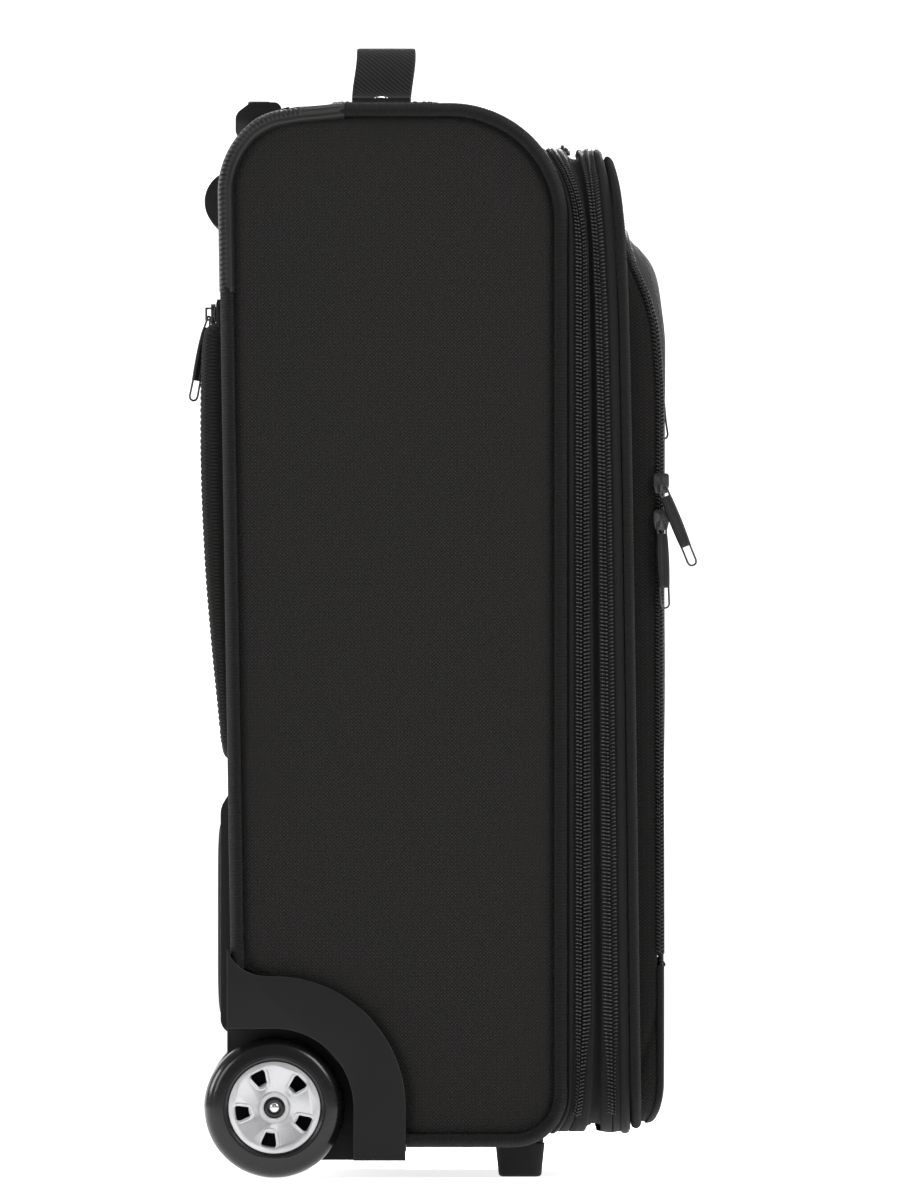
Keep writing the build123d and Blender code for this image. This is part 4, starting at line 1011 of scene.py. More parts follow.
def shoulder_band(run):
    """Cloth on the body's rounded front, outside the lid's round corners."""
    plan = []
    steps, tuck = 8, 3.4
    for u, v, nu, nv, _ in run:
        far = reach(u, v, nu, nv)
        for k in range(steps + 1):
            a = -tuck + (far + tuck) * k / steps
            plan.append((u + nu * a, v + nv * a))
    faces = tube_grid(len(run), steps + 1, ring=False)
    uvs = [plan[k] for face in faces for k in face]
    return [lid_place(u, v, -BODY_FRONT - 0.4) for u, v in plan], faces, uvs


lid_line = evenly(rounded(lid_corners()), 3.0)
for number, run in enumerate(runs(lid_line, lambda u, v: abs(u) > 110 and (v < 60 or v > 474))):
    cloth = mesh_piece("front_shoulder_%d" % number, *shoulder_band(run), GUSSET_CLOTH)
    stand_for(thickened(facing(cloth, (0, -1, 0)), 1.0), "front_frame")

# Parts that keep their CAD shape, by the width and the steps of their softened edges
for width, segments, nodes in (
    (0.4, 2, ("top_board", "back_board", "bottom_tray", "lining", "tube_brackets")),
    (1.3, 3, ("wheel_housing_left", "wheel_housing_right")),
    (0.5, 2, ("kick_plate", "front_feet", "handle_bezel", "outer_tubes", "middle_tubes", "inner_tubes",
              "trolley_grip", "release_button", "push_rods", "lock_pins", "handle_anchors", "axle_bolts",
              "bearings_left", "bearings_right", "hub_left", "hub_right", "tie_straps")),
):
    for node in nodes:
        refined(node, MATERIALS[SLOT_OF[node]], width, segments)


# ---------------------------------------------------------------- wheels
def lathe(name, profile, side, material):
    """A ring turned about the axle from (x, r) points, closed."""
    segments = 144
    points = []
    for i in range(segments):
        t = 2 * pi * i / segments
        points += [(side * x, AXLE_Y + r * cos(t), AXLE_Z + r * sin(t)) for x, r in profile]
    faces = [(a, d, c, b) for a, b, c, d in tube_grid(segments, len(profile), loop=True)]
    piece = tidied(mesh_piece(name, points, faces, None, material))
    crease(piece, radians(40))
    return piece


def tyre_profile():
    """Half-round tread with a fine mould line, and a lip against the hub."""
    tread = []
    for k in range(17):
        t = pi * k / 16
        x = 165 + 11.0 * cos(t) * (1 - 0.04 * sin(2 * t) ** 2)
        tread.append((x, 27.6 + 8.9 * sin(t) ** 0.62))
    lip = [(154.3, 24.9), (155.2, 24.2), (155.2, 23.5), (174.9, 23.5), (174.9, 24.2), (175.7, 24.6),
           (176.1, 25.6), (175.75, 26.0), (175.75, 26.3), (176.1, 26.7)]
    return tread + [(154.0, 26.5)] + lip


WINDOW_RIM = [(2.0, 174.7), (1.6, 175.1), (0.8, 175.1), (0.1, 174.5), (0.05, 171.5), (2.0, 171.5)]
WINDOW_CORNERS = [(-2.1, 12.4, 1.5), (2.1, 12.4, 1.5), (4.5, 20.9, 2.0), (-4.5, 20.9, 2.0)]
# (x, r) profiles of rings about the axle
HUB_RING = [(173.5, 5.7), (175.5, 5.7), (175.9, 6.1), (175.9, 7.4), (175.3, 8.1), (174.4, 8.6), (173.5, 8.6)]
HUB_EDGE = [(173.6, 21.8), (174.6, 21.8), (175.3, 22.6), (175.2, 23.7), (174.2, 24.1), (173.6, 24.1)]
# A black ring at the foot of the hub's recess: painted shade, a dark part put where the recess is in shade
RECESS_SHADE_RING = [(173.4, 2.6), (174.0, 2.6), (174.2, 3.0), (174.2, 5.1), (173.9, 5.5), (173.4, 5.5)]
AXLE_CAP = [(173.6, 0.02), (175.2, 0.02), (175.1, 1.4), (174.7, 2.4), (174.0, 2.8), (173.6, 2.8)]


def hub_windows(side, side_name, wheel, count=5, first=63):
    """Raised rims round the hub's windows, the first of them at an angle of first degrees."""
    outline = evenly(rounded(WINDOW_CORNERS), 0.6)
    for turn in range(count):
        c, s = cos(radians(first + 360 / count * turn)), sin(radians(first + 360 / count * turn))

        def window_place(u, v, w, c=c, s=s):
            return (side * w, AXLE_Y + v * c - u * s, AXLE_Z + v * s + u * c)

        rim = sweep("hub_%s_window_%d" % (side_name, turn), outline, lambda at, u, v: WINDOW_RIM,
                    window_place, MATERIALS["hub_silver"])
        rides(rim, wheel, "hub_silver")


for side, side_name in SIDES:
    wheel = BODY_OF["hub_" + side_name]
    tyre = lathe("tyre_%s_finish" % side_name, tyre_profile(), side, MATERIALS["tyre_rubber"])
    stand_for(tyre, "tyre_" + side_name)
    for name, body, slot, profile in (
        ("hub_%s_ring", wheel, "hub_silver", HUB_RING),
        # The black ring is painted shade in the recess round the axle cap
        ("axle_washer_%s", "shell", "gloss_plastic", RECESS_SHADE_RING),
        ("axle_cap_%s", "shell", "steel", AXLE_CAP),
        ("hub_%s_edge", wheel, "hub_silver", HUB_EDGE),
    ):
        rides(lathe(name % side_name, profile, side, MATERIALS[slot]), body, slot)
    hub_windows(side, side_name, wheel)


# ---------------------------------------------------------------- stitching
STITCH_PITCH = 3.2
STITCH_LENGTH = 2.3
STITCH_RADIUS = 0.32


def thread(name, path):
    """A row of stitches along 3-D points that lie on a surface."""
    marks = [0.0]
    for a, b in zip(path, path[1:]):
        marks.append(marks[-1] + (Vector(b) - Vector(a)).length)
    points, faces = [], []

    def at(distance):
        distance = min(max(distance, 0.0), marks[-1])
        k = max(i for i in range(len(marks) - 1) if marks[i] <= distance)
        share = (distance - marks[k]) / max(marks[k + 1] - marks[k], 1e-9)
        return Vector(path[k]).lerp(Vector(path[k + 1]), share)

    for n in range(int(marks[-1] / STITCH_PITCH)):
        start = n * STITCH_PITCH
        spine = [at(start + STITCH_LENGTH * t) for t in (0.0, 0.15, 0.5, 0.85, 1.0)]
        axis = (spine[-1] - spine[0]).normalized()
        first = axis.orthogonal().normalized()
        second = axis.cross(first)
        base = len(points)
        for centre, share in zip(spine, (0.25, 0.8, 1.0, 0.8, 0.25)):
            for c, s in circle(1.0, 6):
                points.append(tuple(centre + (first * c + second * s) * STITCH_RADIUS * share))
        faces += capped_tube(len(spine), 6, base)
    return mesh_piece(name, points, faces, None, THREAD)


# ---------------------------------------------------------------- rear pocket
REAR_HALF = 148.0
REAR_FOOT = 217.0
REAR_TOP = 444.0
REAR_PATH = [
    (212, 112.8), (219, 114), (227, 115.2), (253, 117.8), (279, 120.2), (305, 122.4), (330, 124),
    (356, 125.1), (400, 125.6), (424, 125.2), (436, 124.2), (442, 122.6), (446, 120.5),
]


def rear_height(u, v, d):
    """The back pocket: steep sides rolled into a full, slightly slack face."""
    flat = back_y(v) - 0.6
    full = curve(v, REAR_PATH) + 0.5 * noise.noise(Vector((u * 0.02, v * 0.02, 7.0)))
    roll = min(d / 4.5, 1.0)
    return flat + (full - flat) * sqrt(1 - (1 - roll) ** 2)


def back_place(u, v, w):
    return (u, w, v)


rear_outline = rounded(box_corners(REAR_HALF, REAR_FOOT, REAR_TOP, 12, 9))
pocket_back = panel("rear_pocket_cloth", rear_outline, rear_height, back_place, PANEL_CLOTH, rows=90,
                    columns=70, out=(0, 1, 0))
stand_for(pocket_back, "rear_pocket")
SEAM_IN = 9.0
seam_outline = rounded(box_corners(REAR_HALF - SEAM_IN, REAR_FOOT + SEAM_IN, REAR_TOP - SEAM_IN, 6, 5))
seam = [(u, rear_height(u, v, SEAM_IN) + 0.1, v) for u, v, *_ in evenly(seam_outline, 4.0)]
rides(thread("rear_pocket_stitches", seam + seam[:1]), "shell", "piping")

REAR_ZIP_Z = 448.0
REAR_ZIP_Y = 117.8
rear_zip_line = evenly([(-REAR_HALF + 2, REAR_ZIP_Z), (REAR_HALF - 2, REAR_ZIP_Z)], 1.0, closed=False)
tape = sweep("rear_zip_tape", rear_zip_line,
             lambda at, u, v: [(7.5, 117.2), (5, REAR_ZIP_Y), (-5, REAR_ZIP_Y), (-7.5, 117.2), (-7.5, 114.5),
                               (7.5, 114.5)], back_place, TAPE, closed=False)
stand_for(tape, "rear_zip")
for row, sign in (("lower", 1), ("upper", -1)):
    spine = [(sign * w, REAR_ZIP_Y + 0.2 + 0.7 * a, slant, girth) for a, w, slant, girth in TOOTH]
    coil = bars("rear_coil_" + row, rear_zip_line, spine, back_place, phase=0.5 if sign < 0 else 0)
    rides(coil, "shell", "zip_tape")


# ---------------------------------------------------------------- carry handle
CARRY_Y = 30.0
WEB_PATH = [(93, 559.7), (83, 559.8), (79.3, 560.8), (77.4, 563.8), (74.6, 573), (71, 580.5), (66.5, 584.6),
            (59, 585.9), (46, 586.0), (36, 585.6)]
WEB_HALF = 15.3


def eased_path(points, rounds=3):
    """The points with their corners cut, so that the line through them is smooth."""
    for _ in range(rounds):
        cut = [points[0]]
        for (u0, v0), (u1, v1) in zip(points, points[1:]):
            cut.append((u0 * 0.75 + u1 * 0.25, v0 * 0.75 + v1 * 0.25))
            cut.append((u0 * 0.25 + u1 * 0.75, v0 * 0.25 + v1 * 0.75))
        points = cut + [points[-1]]
    return points


def web_section(at, u, v):
    """Flat webbing with rounded selvedges."""
    loop = []
    for side_w in (-1, 1):
        for k in range(5):
            t = -pi / 2 + pi * k / 4
            if side_w < 0:
                t += pi
            loop.append((1.1 * sin(t), side_w * (WEB_HALF - 1.0) + cos(t) * 1.0))
    return loop


web_line = evenly(eased_path(WEB_PATH), 1.6, closed=False)
for side, side_name in SIDES:
    def web_place(u, v, w, side=side):
        lean = -2.6 * smooth((v - 559) / 26)
        return (side * u, CARRY_Y + 2.2 + lean + w, v)

    strap = sweep("carry_webbing_" + side_name, web_line, web_section, web_place, MATERIALS["webbing"],
                  closed=False)
    crease(strap, radians(50))
    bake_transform(strap)
    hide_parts("carry_webbing")
    for edge in (-1, 1):
        path = [web_place(s[0], s[1], edge * (WEB_HALF - 2.2)) for s in web_line]
        outer = [(x - side * 1.05 * s[2], y, z - s[3] * 1.05) for (x, y, z), s in zip(path, web_line)]
        row = thread("webbing_stitches_%s_%s" % (side_name, "front" if edge < 0 else "back"), outer)
        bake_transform(row)
    rivet = mesh_piece("handle_rivet_" + side_name, *dome((side * 84, CARRY_Y + 2.2, 560.6), 4.2, 1.5),
                       None, MATERIALS["steel"])
    rides(rivet, "shell", "steel")

for side, side_name in SIDES:
    outline = evenly(rounded(box_corners(18, -24, 24, 5, 5)), 3.0)
    seam = [(side * 76 + u, CARRY_Y + v, 558.65) for u, v, *_ in outline]
    rides(thread("anchor_stitches_" + side_name, seam + seam[:1]), "shell", "webbing")


# ---------------------------------------------------------------- kick plate's ribs
KICK_FACE = 115.0
KICK_MIDDLE = 134


def skid_section(at, u, v):
    """A rounded rib that dies away at its ends."""
    tall = sqrt(max(0.0, 1 - (abs(v - KICK_MIDDLE) / 50) ** 6))
    return bead(-4.5, 4.5, KICK_FACE, KICK_FACE + 0.2 + 1.9 * tall, 10, 0.6)


for number, x in enumerate((-104, -52, 0, 52, 104)):
    line = evenly([(x, KICK_MIDDLE - 49.8), (x, KICK_MIDDLE + 49.8)], 2.0, closed=False)
    skid = sweep("kick_rib_%d" % number, line, skid_section, back_place, MATERIALS["moulded_plastic"],
                 closed=False)
    crease(skid, radians(40))
    rides(skid, "shell", "moulded_plastic")

# ---------------------------------------------------------------- padded grip
GRIP_HALF = 52.0
GRIP_MIDDLE = (29.0, 577.4)


def grip_section(at, u, v):
    """The padded grip's section, drawn in at its sewn ends; a is up and w is across."""
    end = min(1.0, (GRIP_HALF - abs(u)) / 13)
    full = 0.30 + 0.70 * sqrt(max(0.0, 1 - (1 - end) ** 2))
    wide = 14.0 - 1.0 * (1 - end)
    loop = []
    for k in range(40):
        t = 2 * pi * k / 40
        c, s = cos(t), sin(t)
        rise = 8.6 * full * (abs(s) ** 0.8) * (1 if s > 0 else -1)
        loop.append((rise, wide * (abs(c) ** 0.75) * (1 if c > 0 else -1)))
    return loop


def grip_place(u, v, w):
    return (u, GRIP_MIDDLE[0] + w, v)


def inflated(piece, pressure, cap, frames, pins):
    """Blows a closed cloth up with Blender's Cloth and keeps the result. pins(co) is how firmly a
    point is held, from 0 to 1; cap is the furthest that a point may move, in millimetres."""
    mesh = piece.data
    rest = [v.co.copy() for v in mesh.vertices]
    group = piece.vertex_groups.new(name="held")
    for v in mesh.vertices:
        group.add([v.index], pins(v.co / MM), "REPLACE")
    cloth = piece.modifiers.new("cloth", "CLOTH")
    settings = cloth.settings
    settings.quality = 6
    settings.mass = 0.3
    settings.tension_stiffness = settings.compression_stiffness = 20
    settings.shear_stiffness = 8
    settings.bending_stiffness = 1.0
    settings.vertex_group_mass = "held"
    settings.use_pressure = True
    settings.uniform_pressure_force = pressure
    settings.effector_weights.gravity = 0
    cloth.collision_settings.use_collision = False
    cloth.point_cache.frame_start, cloth.point_cache.frame_end = 1, frames
    scene = bpy.context.scene
    for frame_number in range(1, frames + 1):
        scene.frame_set(frame_number)
    baked(piece)
    scene.frame_set(1)
    for v, old in zip(piece.data.vertices, rest):
        step = v.co - old
        if step.length > cap * MM:
            v.co = old + step.normalized() * cap * MM
    piece.vertex_groups.clear()
    return piece


grip_line = evenly([(-GRIP_HALF, GRIP_MIDDLE[1]), (GRIP_HALF, GRIP_MIDDLE[1])], 2.2, closed=False)
grip = sweep("carry_grip_pad", grip_line, grip_section, grip_place, MATERIALS["grip_pad"], closed=False)
inflated(grip, 4.0, 2.0, 16, lambda co: 1.0 if abs(co.x) > GRIP_HALF - 4 else 0.0)
stand_for(grip, "carry_grip")

# ---------------------------------------------------------------- zips, expander and lid
def lid_band(name, section, material, node):
    """A sheet round the lid's outline from (a, w) points, standing for part of a node."""
    sheet = sweep(name, lid_line, lambda at, u, v: section, lid_place, material, tube=False)
    stand_for(thickened(facing_lid(sheet), 1.2), node)


def rows_of(name, line, place, rear_node, front_node, centre, keep, out, half=TOOTH_LENGTH, lift=1.0,
            knobs=EVEN, narrow=None):
    """Both rows of a zip's coil, meeting at w = centre."""
    for row, (node, sign) in enumerate(((rear_node, -1), (front_node, 1))):
        spine = [(out + a * lift, centre + sign * w * half / TOOTH_LENGTH, slant, girth)
                 for a, w, slant, girth in knobs[row]]
        for number, run in enumerate(runs(line, keep)):
            coil = bars("%s_%s_%d" % (name, ("rear", "front")[row], number), run, spine, place, 0.5 * row,
                        centre, narrow)
            stand_for(coil, node)


def gathered(v):
    """How much of a zip's width shows: it is gathered in towards its foot."""
    return 1 - 0.5 * smooth((88 - v) / 40)


def above_foot(u, v):
    return v > LID_BOTTOM + 9


fine_lid = evenly(rounded(lid_corners()), 1.0)
for name, material, node, section in (
    ("welt", SMOOTH_FABRIC, "expansion_zip_rear",
     [(-4.2, 63.4), (-2.4, 64.2), (-0.4, 64.8), (0.6, 65.7), (0.5, 66.8), (-0.9, 67.8)]),
    ("expansion_tape_rear", TAPE, "expansion_zip_rear", [(-1.0, 67.6), (-0.6, 68.2), (-0.6, 72.0)]),
    ("expansion_tape_front", TAPE, "expander_zips", [(-0.6, 72.4), (-0.6, 76.2), (-1.2, 76.8)]),
    ("expander_cloth", GUSSET_CLOTH, "expander_band",
     [(-1.0, 76.5), (-3.6, 77.0), (-4.8, 78.0), (-5.0, 79.4), (-4.4, 80.6), (-1.2, 81.4)]),
    ("main_tape_rear", TAPE, "expander_zips", [(-1.6, 81.0), (-0.9, 81.2), (-0.7, 84.4)]),
    ("main_tape_front", TAPE, "main_zip_front", [(-0.7, 84.8), (-0.6, 88.9), (-1.2, 89.3)]),
    ("lid_band", SMOOTH_FABRIC, "lid_shell",
     [(-1.2, 89.0), (-0.2, 89.5), (0.3, 90.8), (0.25, 92.6), (-0.4, 93.9), (-1.9, 94.7)]),
):
    lid_band(name, section, material, node)
rows_of("expansion_coil", fine_lid, lid_place, "expansion_zip_rear", "expander_zips", ZIP_LINE, above_foot,
        out=-0.4, narrow=gathered)
rows_of("main_coil", fine_lid, lid_place, "expander_zips", "main_zip_front", MAIN_LINE, above_foot, out=-0.5,
        knobs=LEANING, narrow=gathered)


def lid_piping_section(at, u, v):
    middle = (-2.5, 98.0)
    return ribbed(circle(3.3, 14, middle, 3.2), at, RIB, 0.09, middle)


def face_place(u, v, w):
    """The lid's face and its piping sit a little inside the zip's line at the top and the foot."""
    return lid_place(u, v + 3.0 * smooth((60 - v) / 36) - 4.2 * smooth((v - 498) / 34), w)


lid_cord = sweep("lid_cord", evenly(rounded(lid_corners()), RIB / 4), lid_piping_section, face_place,
                 MATERIALS["piping"])
stand_for(lid_cord, "lid_piping")

face = panel("lid_face", rounded(lid_corners(3.0)), lambda u, v, d: 95.8 - 1.2 * exp(-d / 3), face_place,
             PANEL_CLOTH, rows=60, columns=30, out=(0, -1, 0))
stand_for(face, "lid_shell")

# ---------------------------------------------------------------- front pocket
pocket_line = evenly(rounded(pocket_corners()), 3.0)
fine_pocket = evenly(rounded(pocket_corners()), 1.0)


def gusset_section(at, u, v):
    """The pocket's side wall from the lid's face to the zip, full in the middle, with a slanted
    crease near the foot."""
    wall = []
    for k in range(13):
        t = k / 12
        crease_t = 0.25 + 0.75 * (v - 53) / 31
        fold = 1.5 * exp(-((t - crease_t) / 0.12) ** 2) * smooth((v - 48) / 8) * smooth((92 - v) / 8)
        wall.append((4.0 - 2.4 * (1 - t) ** 2 + 0.6 * sin(pi * t) - fold, t * 0.9 * WALL_DEPTH))
    return wall


gusset = sweep("pocket_wall", pocket_line, gusset_section, gusset_place, PANEL_CLOTH, tube=False)
stand_for(thickened(facing_lid(gusset), 1.2), "pocket_gusset")


POCKET_ZIP_OUT = 4.9


def zip_place(u, v, w):
    """w is forward of the pocket's zip."""
    return (u, pocket_zip_y(v) - w, v)


def pocket_front(u, v, d):
    """How far the pocket's front stands forward of its zip at (u, v)."""
    middle = pocket_zip_y(v) - pocket_middle_y(v)
    full = 1 - (1 - min(d / 34, 1.0)) ** 3.2
    bulge = max(middle - 1.7, 0) * full
    slack = 0.5 * noise.noise(Vector((u * 0.013, v * 0.013, 11.0))) * smooth(d / 30)
    return 0.9 + 0.8 * (1 - exp(-d / 2.5)) + bulge + slack


for name, low, high, node in (("pocket_flap_cloth", FLAP_SEAM + 0.3, None, "pocket_flap"),
                              ("pocket_foot_cloth", None, FLAP_SEAM - 0.3, "pocket_gusset")):
    cloth = panel(name, rounded(pocket_corners(4.4)), pocket_front, zip_place, PANEL_CLOTH,
                  rows=110 if low else 36, columns=60, out=(0, -1, 0), low=low, high=high)
    stand_for(cloth, node)


def above_flap_seam(u, v):
    return v > FLAP_SEAM + 2.5


def flap_roll(at, u, v):
    """The flap's cloth, rolled over beside its zip."""
    return bead(0.9, 4.5, 1.0, 2.2, 8, 0.8) + [(0.9, 0.5), (4.3, 0.5)]


def foot_roll(at, u, v):
    """The pocket's foot, rolled over along its wall."""
    return bead(0.9, 5.2, -0.6, 2.0, 8, 0.8) + [(0.9, -1.6), (5.0, -1.6)]


def seam_welt(at, u, v):
    """A thin ribbed cord along the flap's hinge seam."""
    return ribbed(circle(1.2, 10, (0, 1.6)), at, RIB, 0.12, (0, 2.0))


for name, section, node in (
    ("pocket_tape_rear", [(3.9, -2.4), (4.6, -1.7), (4.6, -0.15)], "pocket_zip"),
    ("pocket_tape_front", [(4.6, 0.15), (4.6, 0.9), (4.0, 1.6)], "pocket_flap"),
):
    for number, run in enumerate(runs(pocket_line, above_flap_seam)):
        band = sweep("%s_%d" % (name, number), run, lambda at, u, v: section, zip_place, TAPE, closed=False,
                     tube=False)
        stand_for(thickened(facing_lid(band), 0.8), node)
rows_of("pocket_coil", fine_pocket, zip_place, "pocket_zip", "pocket_flap", 0.0, above_flap_seam,
        out=POCKET_ZIP_OUT, half=1.9, lift=0.8)
for number, run in enumerate(runs(pocket_line, above_flap_seam)):
    roll = sweep("flap_edge_%d" % number, run, flap_roll, zip_place, GUSSET_CLOTH, closed=False)
    rides(roll, "pocket_flap", "gusset_fabric")
foot_line = runs(pocket_line, lambda u, v: v < FLAP_SEAM - 0.5)[0]
foot_edge = sweep("foot_edge", foot_line, foot_roll, zip_place, GUSSET_CLOTH, closed=False)
rides(foot_edge, "lid", "gusset_fabric")
seam_ends = [(2 - POCKET_HALF, FLAP_SEAM - 1.6), (POCKET_HALF - 2, FLAP_SEAM - 1.6)]
seam_line = evenly(seam_ends, RIB / 3, closed=False)
welt = sweep("flap_seam_welt", seam_line, seam_welt, zip_place, MATERIALS["piping"], closed=False)
rides(welt, "lid", "piping")


def pocket_stitches(name, body, places):
    """A row of stitches through (u, v) places on the pocket's front."""
    path = [zip_place(u, v, pocket_front(u, v, 7) + 0.05) for u, v in places]
    rides(thread(name, path), body, "piping")


flap_line = runs(evenly(rounded(pocket_corners(-3)), 4.0), lambda u, v: v > FLAP_SEAM + 4)[0]
pocket_stitches("flap_stitches", "pocket_flap", [s[:2] for s in flap_line])
pocket_stitches("foot_stitches", "lid", [(u, FLAP_SEAM - 6) for u in range(-146, 147, 4)])

# ---------------------------------------------------------------- inside of the expander and the lid
PLEATS = 6


def plain(u, v, w):
    return (u, -w, v)


def bellows_section(at, u, v):
    """Pleated cloth along the expander, round the lid's outline."""
    points = [(-4.2, -zip_one_y(v) - 1.5)]
    for k in range(PLEATS * 2 + 1):
        points.append((-4.6 if k % 2 == 0 else -8.4, 66.0 + 8.4 * k / (PLEATS * 2)))
    return points + [(-3.9, 76.5)]


bellows = sweep("expander_bellows", lid_line, bellows_section, plain, GUSSET_CLOTH, tube=False)
thickened(facing_lid(bellows), 0.5)
crease(bellows, radians(40))
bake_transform(bellows)
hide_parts("expander_gusset")

STRIP = [(0.0, 79.6), (0.5, 82), (0.9, 84.5), (1.1, 86.7), (0.9, 89), (0.5, 91.5), (0.0, 93.6)]
strip_line = evenly([(-138, 24.2), (138, 24.2)], 6.0, closed=False)
strip = sweep("lid_hinge_strip", strip_line, lambda at, u, v: STRIP, plain, GUSSET_CLOTH,
              closed=False, tube=False)
strip = thickened(facing(strip, (0, 0, -1)), 0.8)
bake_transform(strip)

inner = panel("lid_lining", rounded(lid_corners(3.2)),
              lambda u, v, d: 90.6 + 0.5 * noise.noise(Vector((u * 0.02, v * 0.02, 5.0))), lid_place,
              MATERIALS["lining_fabric"], rows=50, columns=30, out=(0, 1, 0), thickness=1.0)
rides(inner, "lid", "lining_fabric")

NET = ballistic("lid_net", (0.004, 0.004, 0.004), (0.05, 0.05, 0.05), cell=1.6, depth=0.6)
net_outline = rounded(box_corners(140, 50, 330, 20, 14))
net = panel("lid_inner_pocket", net_outline, lambda u, v, d: 89.3 - 0.8 * smooth(d / 30), lid_place, NET,
            rows=40, columns=30, out=(0, 1, 0), thickness=0.8)
rides(net, "lid", "lining_fabric")
BINDING = [(-4.5, 89.8), (-4.2, 88.4), (0, 88.0), (4.2, 88.4), (4.5, 89.8)]
binding = sweep("lid_inner_binding", evenly(net_outline, 2.0), lambda at, u, v: BINDING, lid_place, TAPE)
rides(binding, "lid", "zip_tape")
inner_zip = evenly([(-122, 318), (122, 318)], 1.0, closed=False)
SMALL_TOOTH = [(2.6, 88.2, 0), (2.0, 87.7, 0.1), (1.0, 87.8, 0.3), (0.1, 87.7, 0.5)]
for row, sign in (("low", 1), ("high", -1)):
    spine = [(sign * a, w, slant, 0.9) for a, w, slant in SMALL_TOOTH]
    coil = bars("lid_inner_coil_" + row, inner_zip, spine, lid_place, phase=0.5 if sign < 0 else 0)
    rides(coil, "lid", "zip_tape")

# ---------------------------------------------------------------- sliders and pulls
PULL_LENGTH = 44.45
PULL_HALF = 2.25
WIRE_RADIUS = 0.55
SLEEVE_TOP = 5.8
SLEEVE_FOOT = 34.0
SLEEVE_WIDTHS = [(5.8, 2.7), (8, 2.95), (18, 3.25), (28, 3.1), (34, 2.8)]
REAR_TWIST = [(2, 20), (10, 50), (34, 58), (44, 66)]


def pull_place(joint, node, twist):
    """Maps (across, down, outwards) from the pull's pivot, turned by twist(down) about its length."""
    pivot = Vector(joint["pos_m"]) / MM
    across_way = -Vector(joint["axis"]).normalized()
    low, high = node_box(node)
    down = (low + high) / 2 - pivot
    down = (down - across_way * down.dot(across_way)).normalized()
    out = across_way.cross(-down)

    def place(u, v, w):
        turn = twist(v)
        shift, rise = u * cos(turn) - w * sin(turn), u * sin(turn) + w * cos(turn)
        return tuple(pivot + across_way * shift + down * v + out * rise)
    return place


def sleeve_section(at, u, v):
    """A moulded sleeve with chamfered sides and a groove down the middle of each face."""
    half = curve(v, SLEEVE_WIDTHS)
    end = min(1.0, min(v - SLEEVE_TOP, SLEEVE_FOOT - v) / 0.9 * 0.4 + 0.6)
    thick = 1.0 * end
    face = [(-half, 0.3), (-half + 0.8, thick), (-0.75, thick), (-0.45, thick - 0.25), (0.45, thick - 0.25),
            (0.75, thick), (half - 0.8, thick), (half, 0.3)]
    return face + [(-a, -w) for a, w in face]


def rear_twist(v):
    """The rear pocket's pull hangs turned, more so towards its end."""
    return radians(curve(v, REAR_TWIST))


def straight(v):
    return 0.0


def wire_section(at, u, v):
    return circle(WIRE_RADIUS, 10)


wire_line = evenly(rounded([(-PULL_HALF, 0.0, 1.2), (PULL_HALF, 0.0, 1.2), (PULL_HALF, PULL_LENGTH, 2.1),
                            (-PULL_HALF, PULL_LENGTH, 2.1)]), 0.8)
sleeve_line = evenly([(0, SLEEVE_TOP), (0, SLEEVE_FOOT)], 0.9, closed=False)
for joint in frame["joints"]:
    name = joint["child"]
    if "pull" not in name:
        continue
    place = pull_place(joint, name, rear_twist if name == "rear_pull" else straight)
    wire = sweep(name + "_wire", wire_line, wire_section, place, MATERIALS["zip_metal"])
    stand_for(wire, name)
    sleeve = sweep(name + "_sleeve", sleeve_line, sleeve_section, place, MATERIALS["pull_plastic"],
                   closed=False)
    crease(sleeve, radians(25))
    rides(sleeve, name, "pull_plastic")

for name in BODY_OF:
    if "slider" in name:
        refined(name, MATERIALS["zip_metal"], 0.45, 3)


# ---------------------------------------------------------------- floor, light and camera
STAGE_HALF = 48000
STAGE_WALL = 20000
STAGE_BEND = 4000


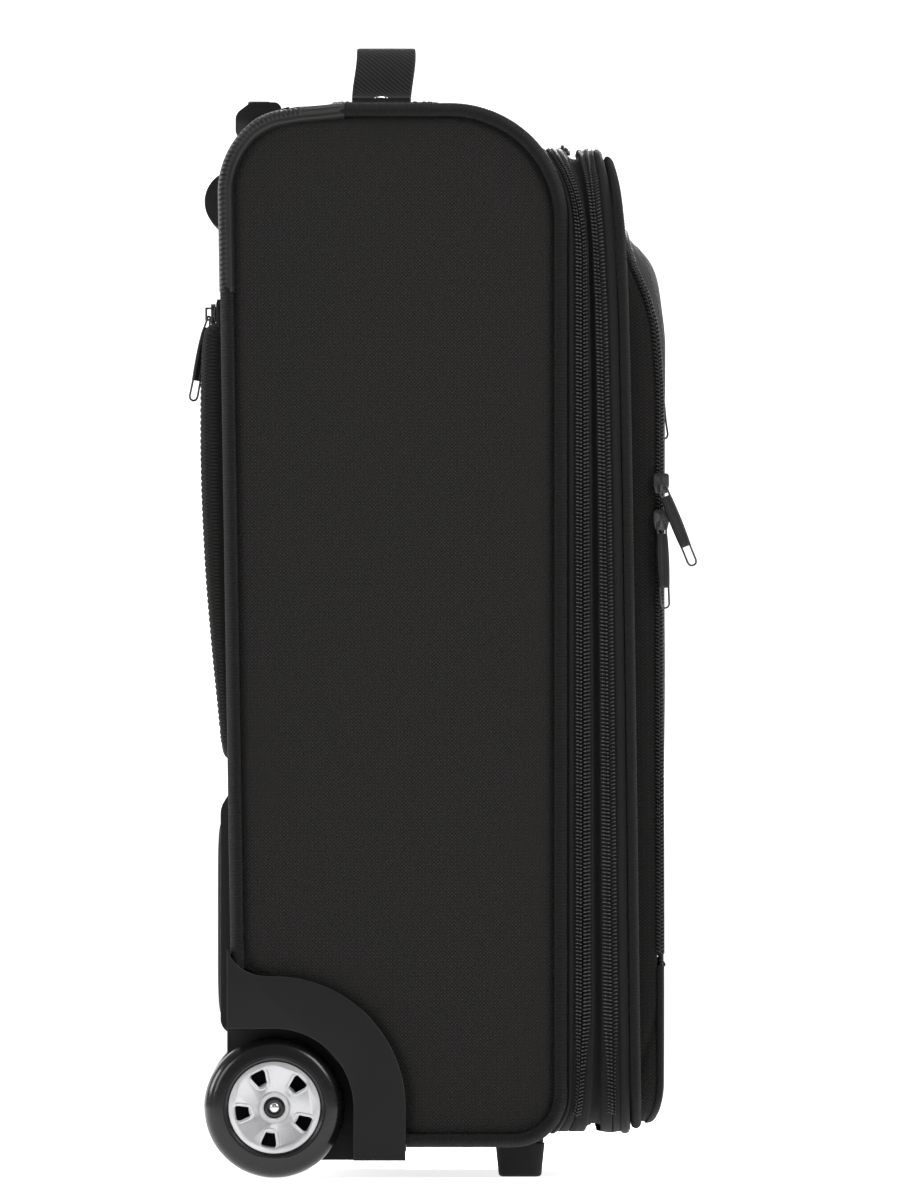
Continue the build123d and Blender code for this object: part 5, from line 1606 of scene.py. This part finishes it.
def studio():
    """A pale floor that bends up into a wall beyond the case."""
    g = Graph("studio_floor")
    drift = g.noise(g.place(), 3.0, 2.0)
    g.finish(colour=g.blend(drift, (0.93, 0.93, 0.93), (0.96, 0.96, 0.96)), rough=0.8, specular=0.2)
    g.shader.inputs["Emission Color"].default_value = (1, 1, 1, 1)
    g.shader.inputs["Emission Strength"].default_value = 0.8
    bend = arc((STAGE_HALF - STAGE_BEND, STAGE_BEND), STAGE_BEND, -pi / 2, 0, 450)
    profile = [(-STAGE_HALF, 0)] + bend + [(STAGE_HALF, STAGE_WALL)]
    points = [(x, y, z) for x, z in profile for y in (-STAGE_HALF, STAGE_HALF)]
    faces = tube_grid(len(profile), 2, ring=False)
    mesh_piece("studio_backdrop", points, faces, None, g.material)


def soft_light(name, place, aim, size, power):
    data = bpy.data.lights.new(name, "AREA")
    data.shape = "RECTANGLE"
    data.size, data.size_y = size[0] * MM, size[1] * MM
    data.energy = power
    lamp = bpy.data.objects.new(name, data)
    bpy.context.scene.collection.objects.link(lamp)
    lamp.location = Vector(place) * MM
    lamp.rotation_euler = (Vector(aim) - Vector(place)).to_track_quat("-Z", "Y").to_euler()


bpy.context.scene.view_settings.view_transform = "Standard"
studio()
world = bpy.data.worlds.new("studio_world")
world.use_nodes = True
world.node_tree.nodes["Background"].inputs[0].default_value = (1, 1, 1, 1)
world.node_tree.nodes["Background"].inputs[1].default_value = 0.27
bpy.context.scene.world = world
soft_light("key_light", (-1500, -1300, 1500), (0, 0, 280), (700, 1100), 24)
soft_light("fill_light", (-1400, 1500, 900), (0, 0, 260), (700, 1000), 13)
soft_light("top_light", (-200, 0, 2100), (0, 0, 300), (1000, 1400), 18)
soft_light("front_light", (500, -2200, 1000), (0, 0, 280), (900, 900), 30)
soft_light("back_light", (300, 2300, 1000), (0, 0, 280), (900, 900), 26)
soft_light("right_light", (2300, -300, 1000), (0, 0, 280), (900, 900), 30)

SENSOR = 36.0
NEAR_SIDE = -172
VIEW_DISTANCE = 20000.0
VIEW_HEIGHT = 621.8
CAMERA_Y = -3.6
CAMERA_Z = 299.5
camera_data = bpy.data.cameras.new("camera")
camera_data.sensor_fit = "VERTICAL"
camera_data.sensor_height = SENSOR
camera_data.lens = SENSOR * VIEW_DISTANCE / VIEW_HEIGHT
camera_data.clip_end = 200
camera = bpy.data.objects.new("camera", camera_data)
bpy.context.scene.collection.objects.link(camera)
camera.location = Vector((NEAR_SIDE - VIEW_DISTANCE, CAMERA_Y, CAMERA_Z)) * MM
camera.rotation_euler = (pi / 2, 0, -pi / 2)
bpy.context.scene.camera = camera
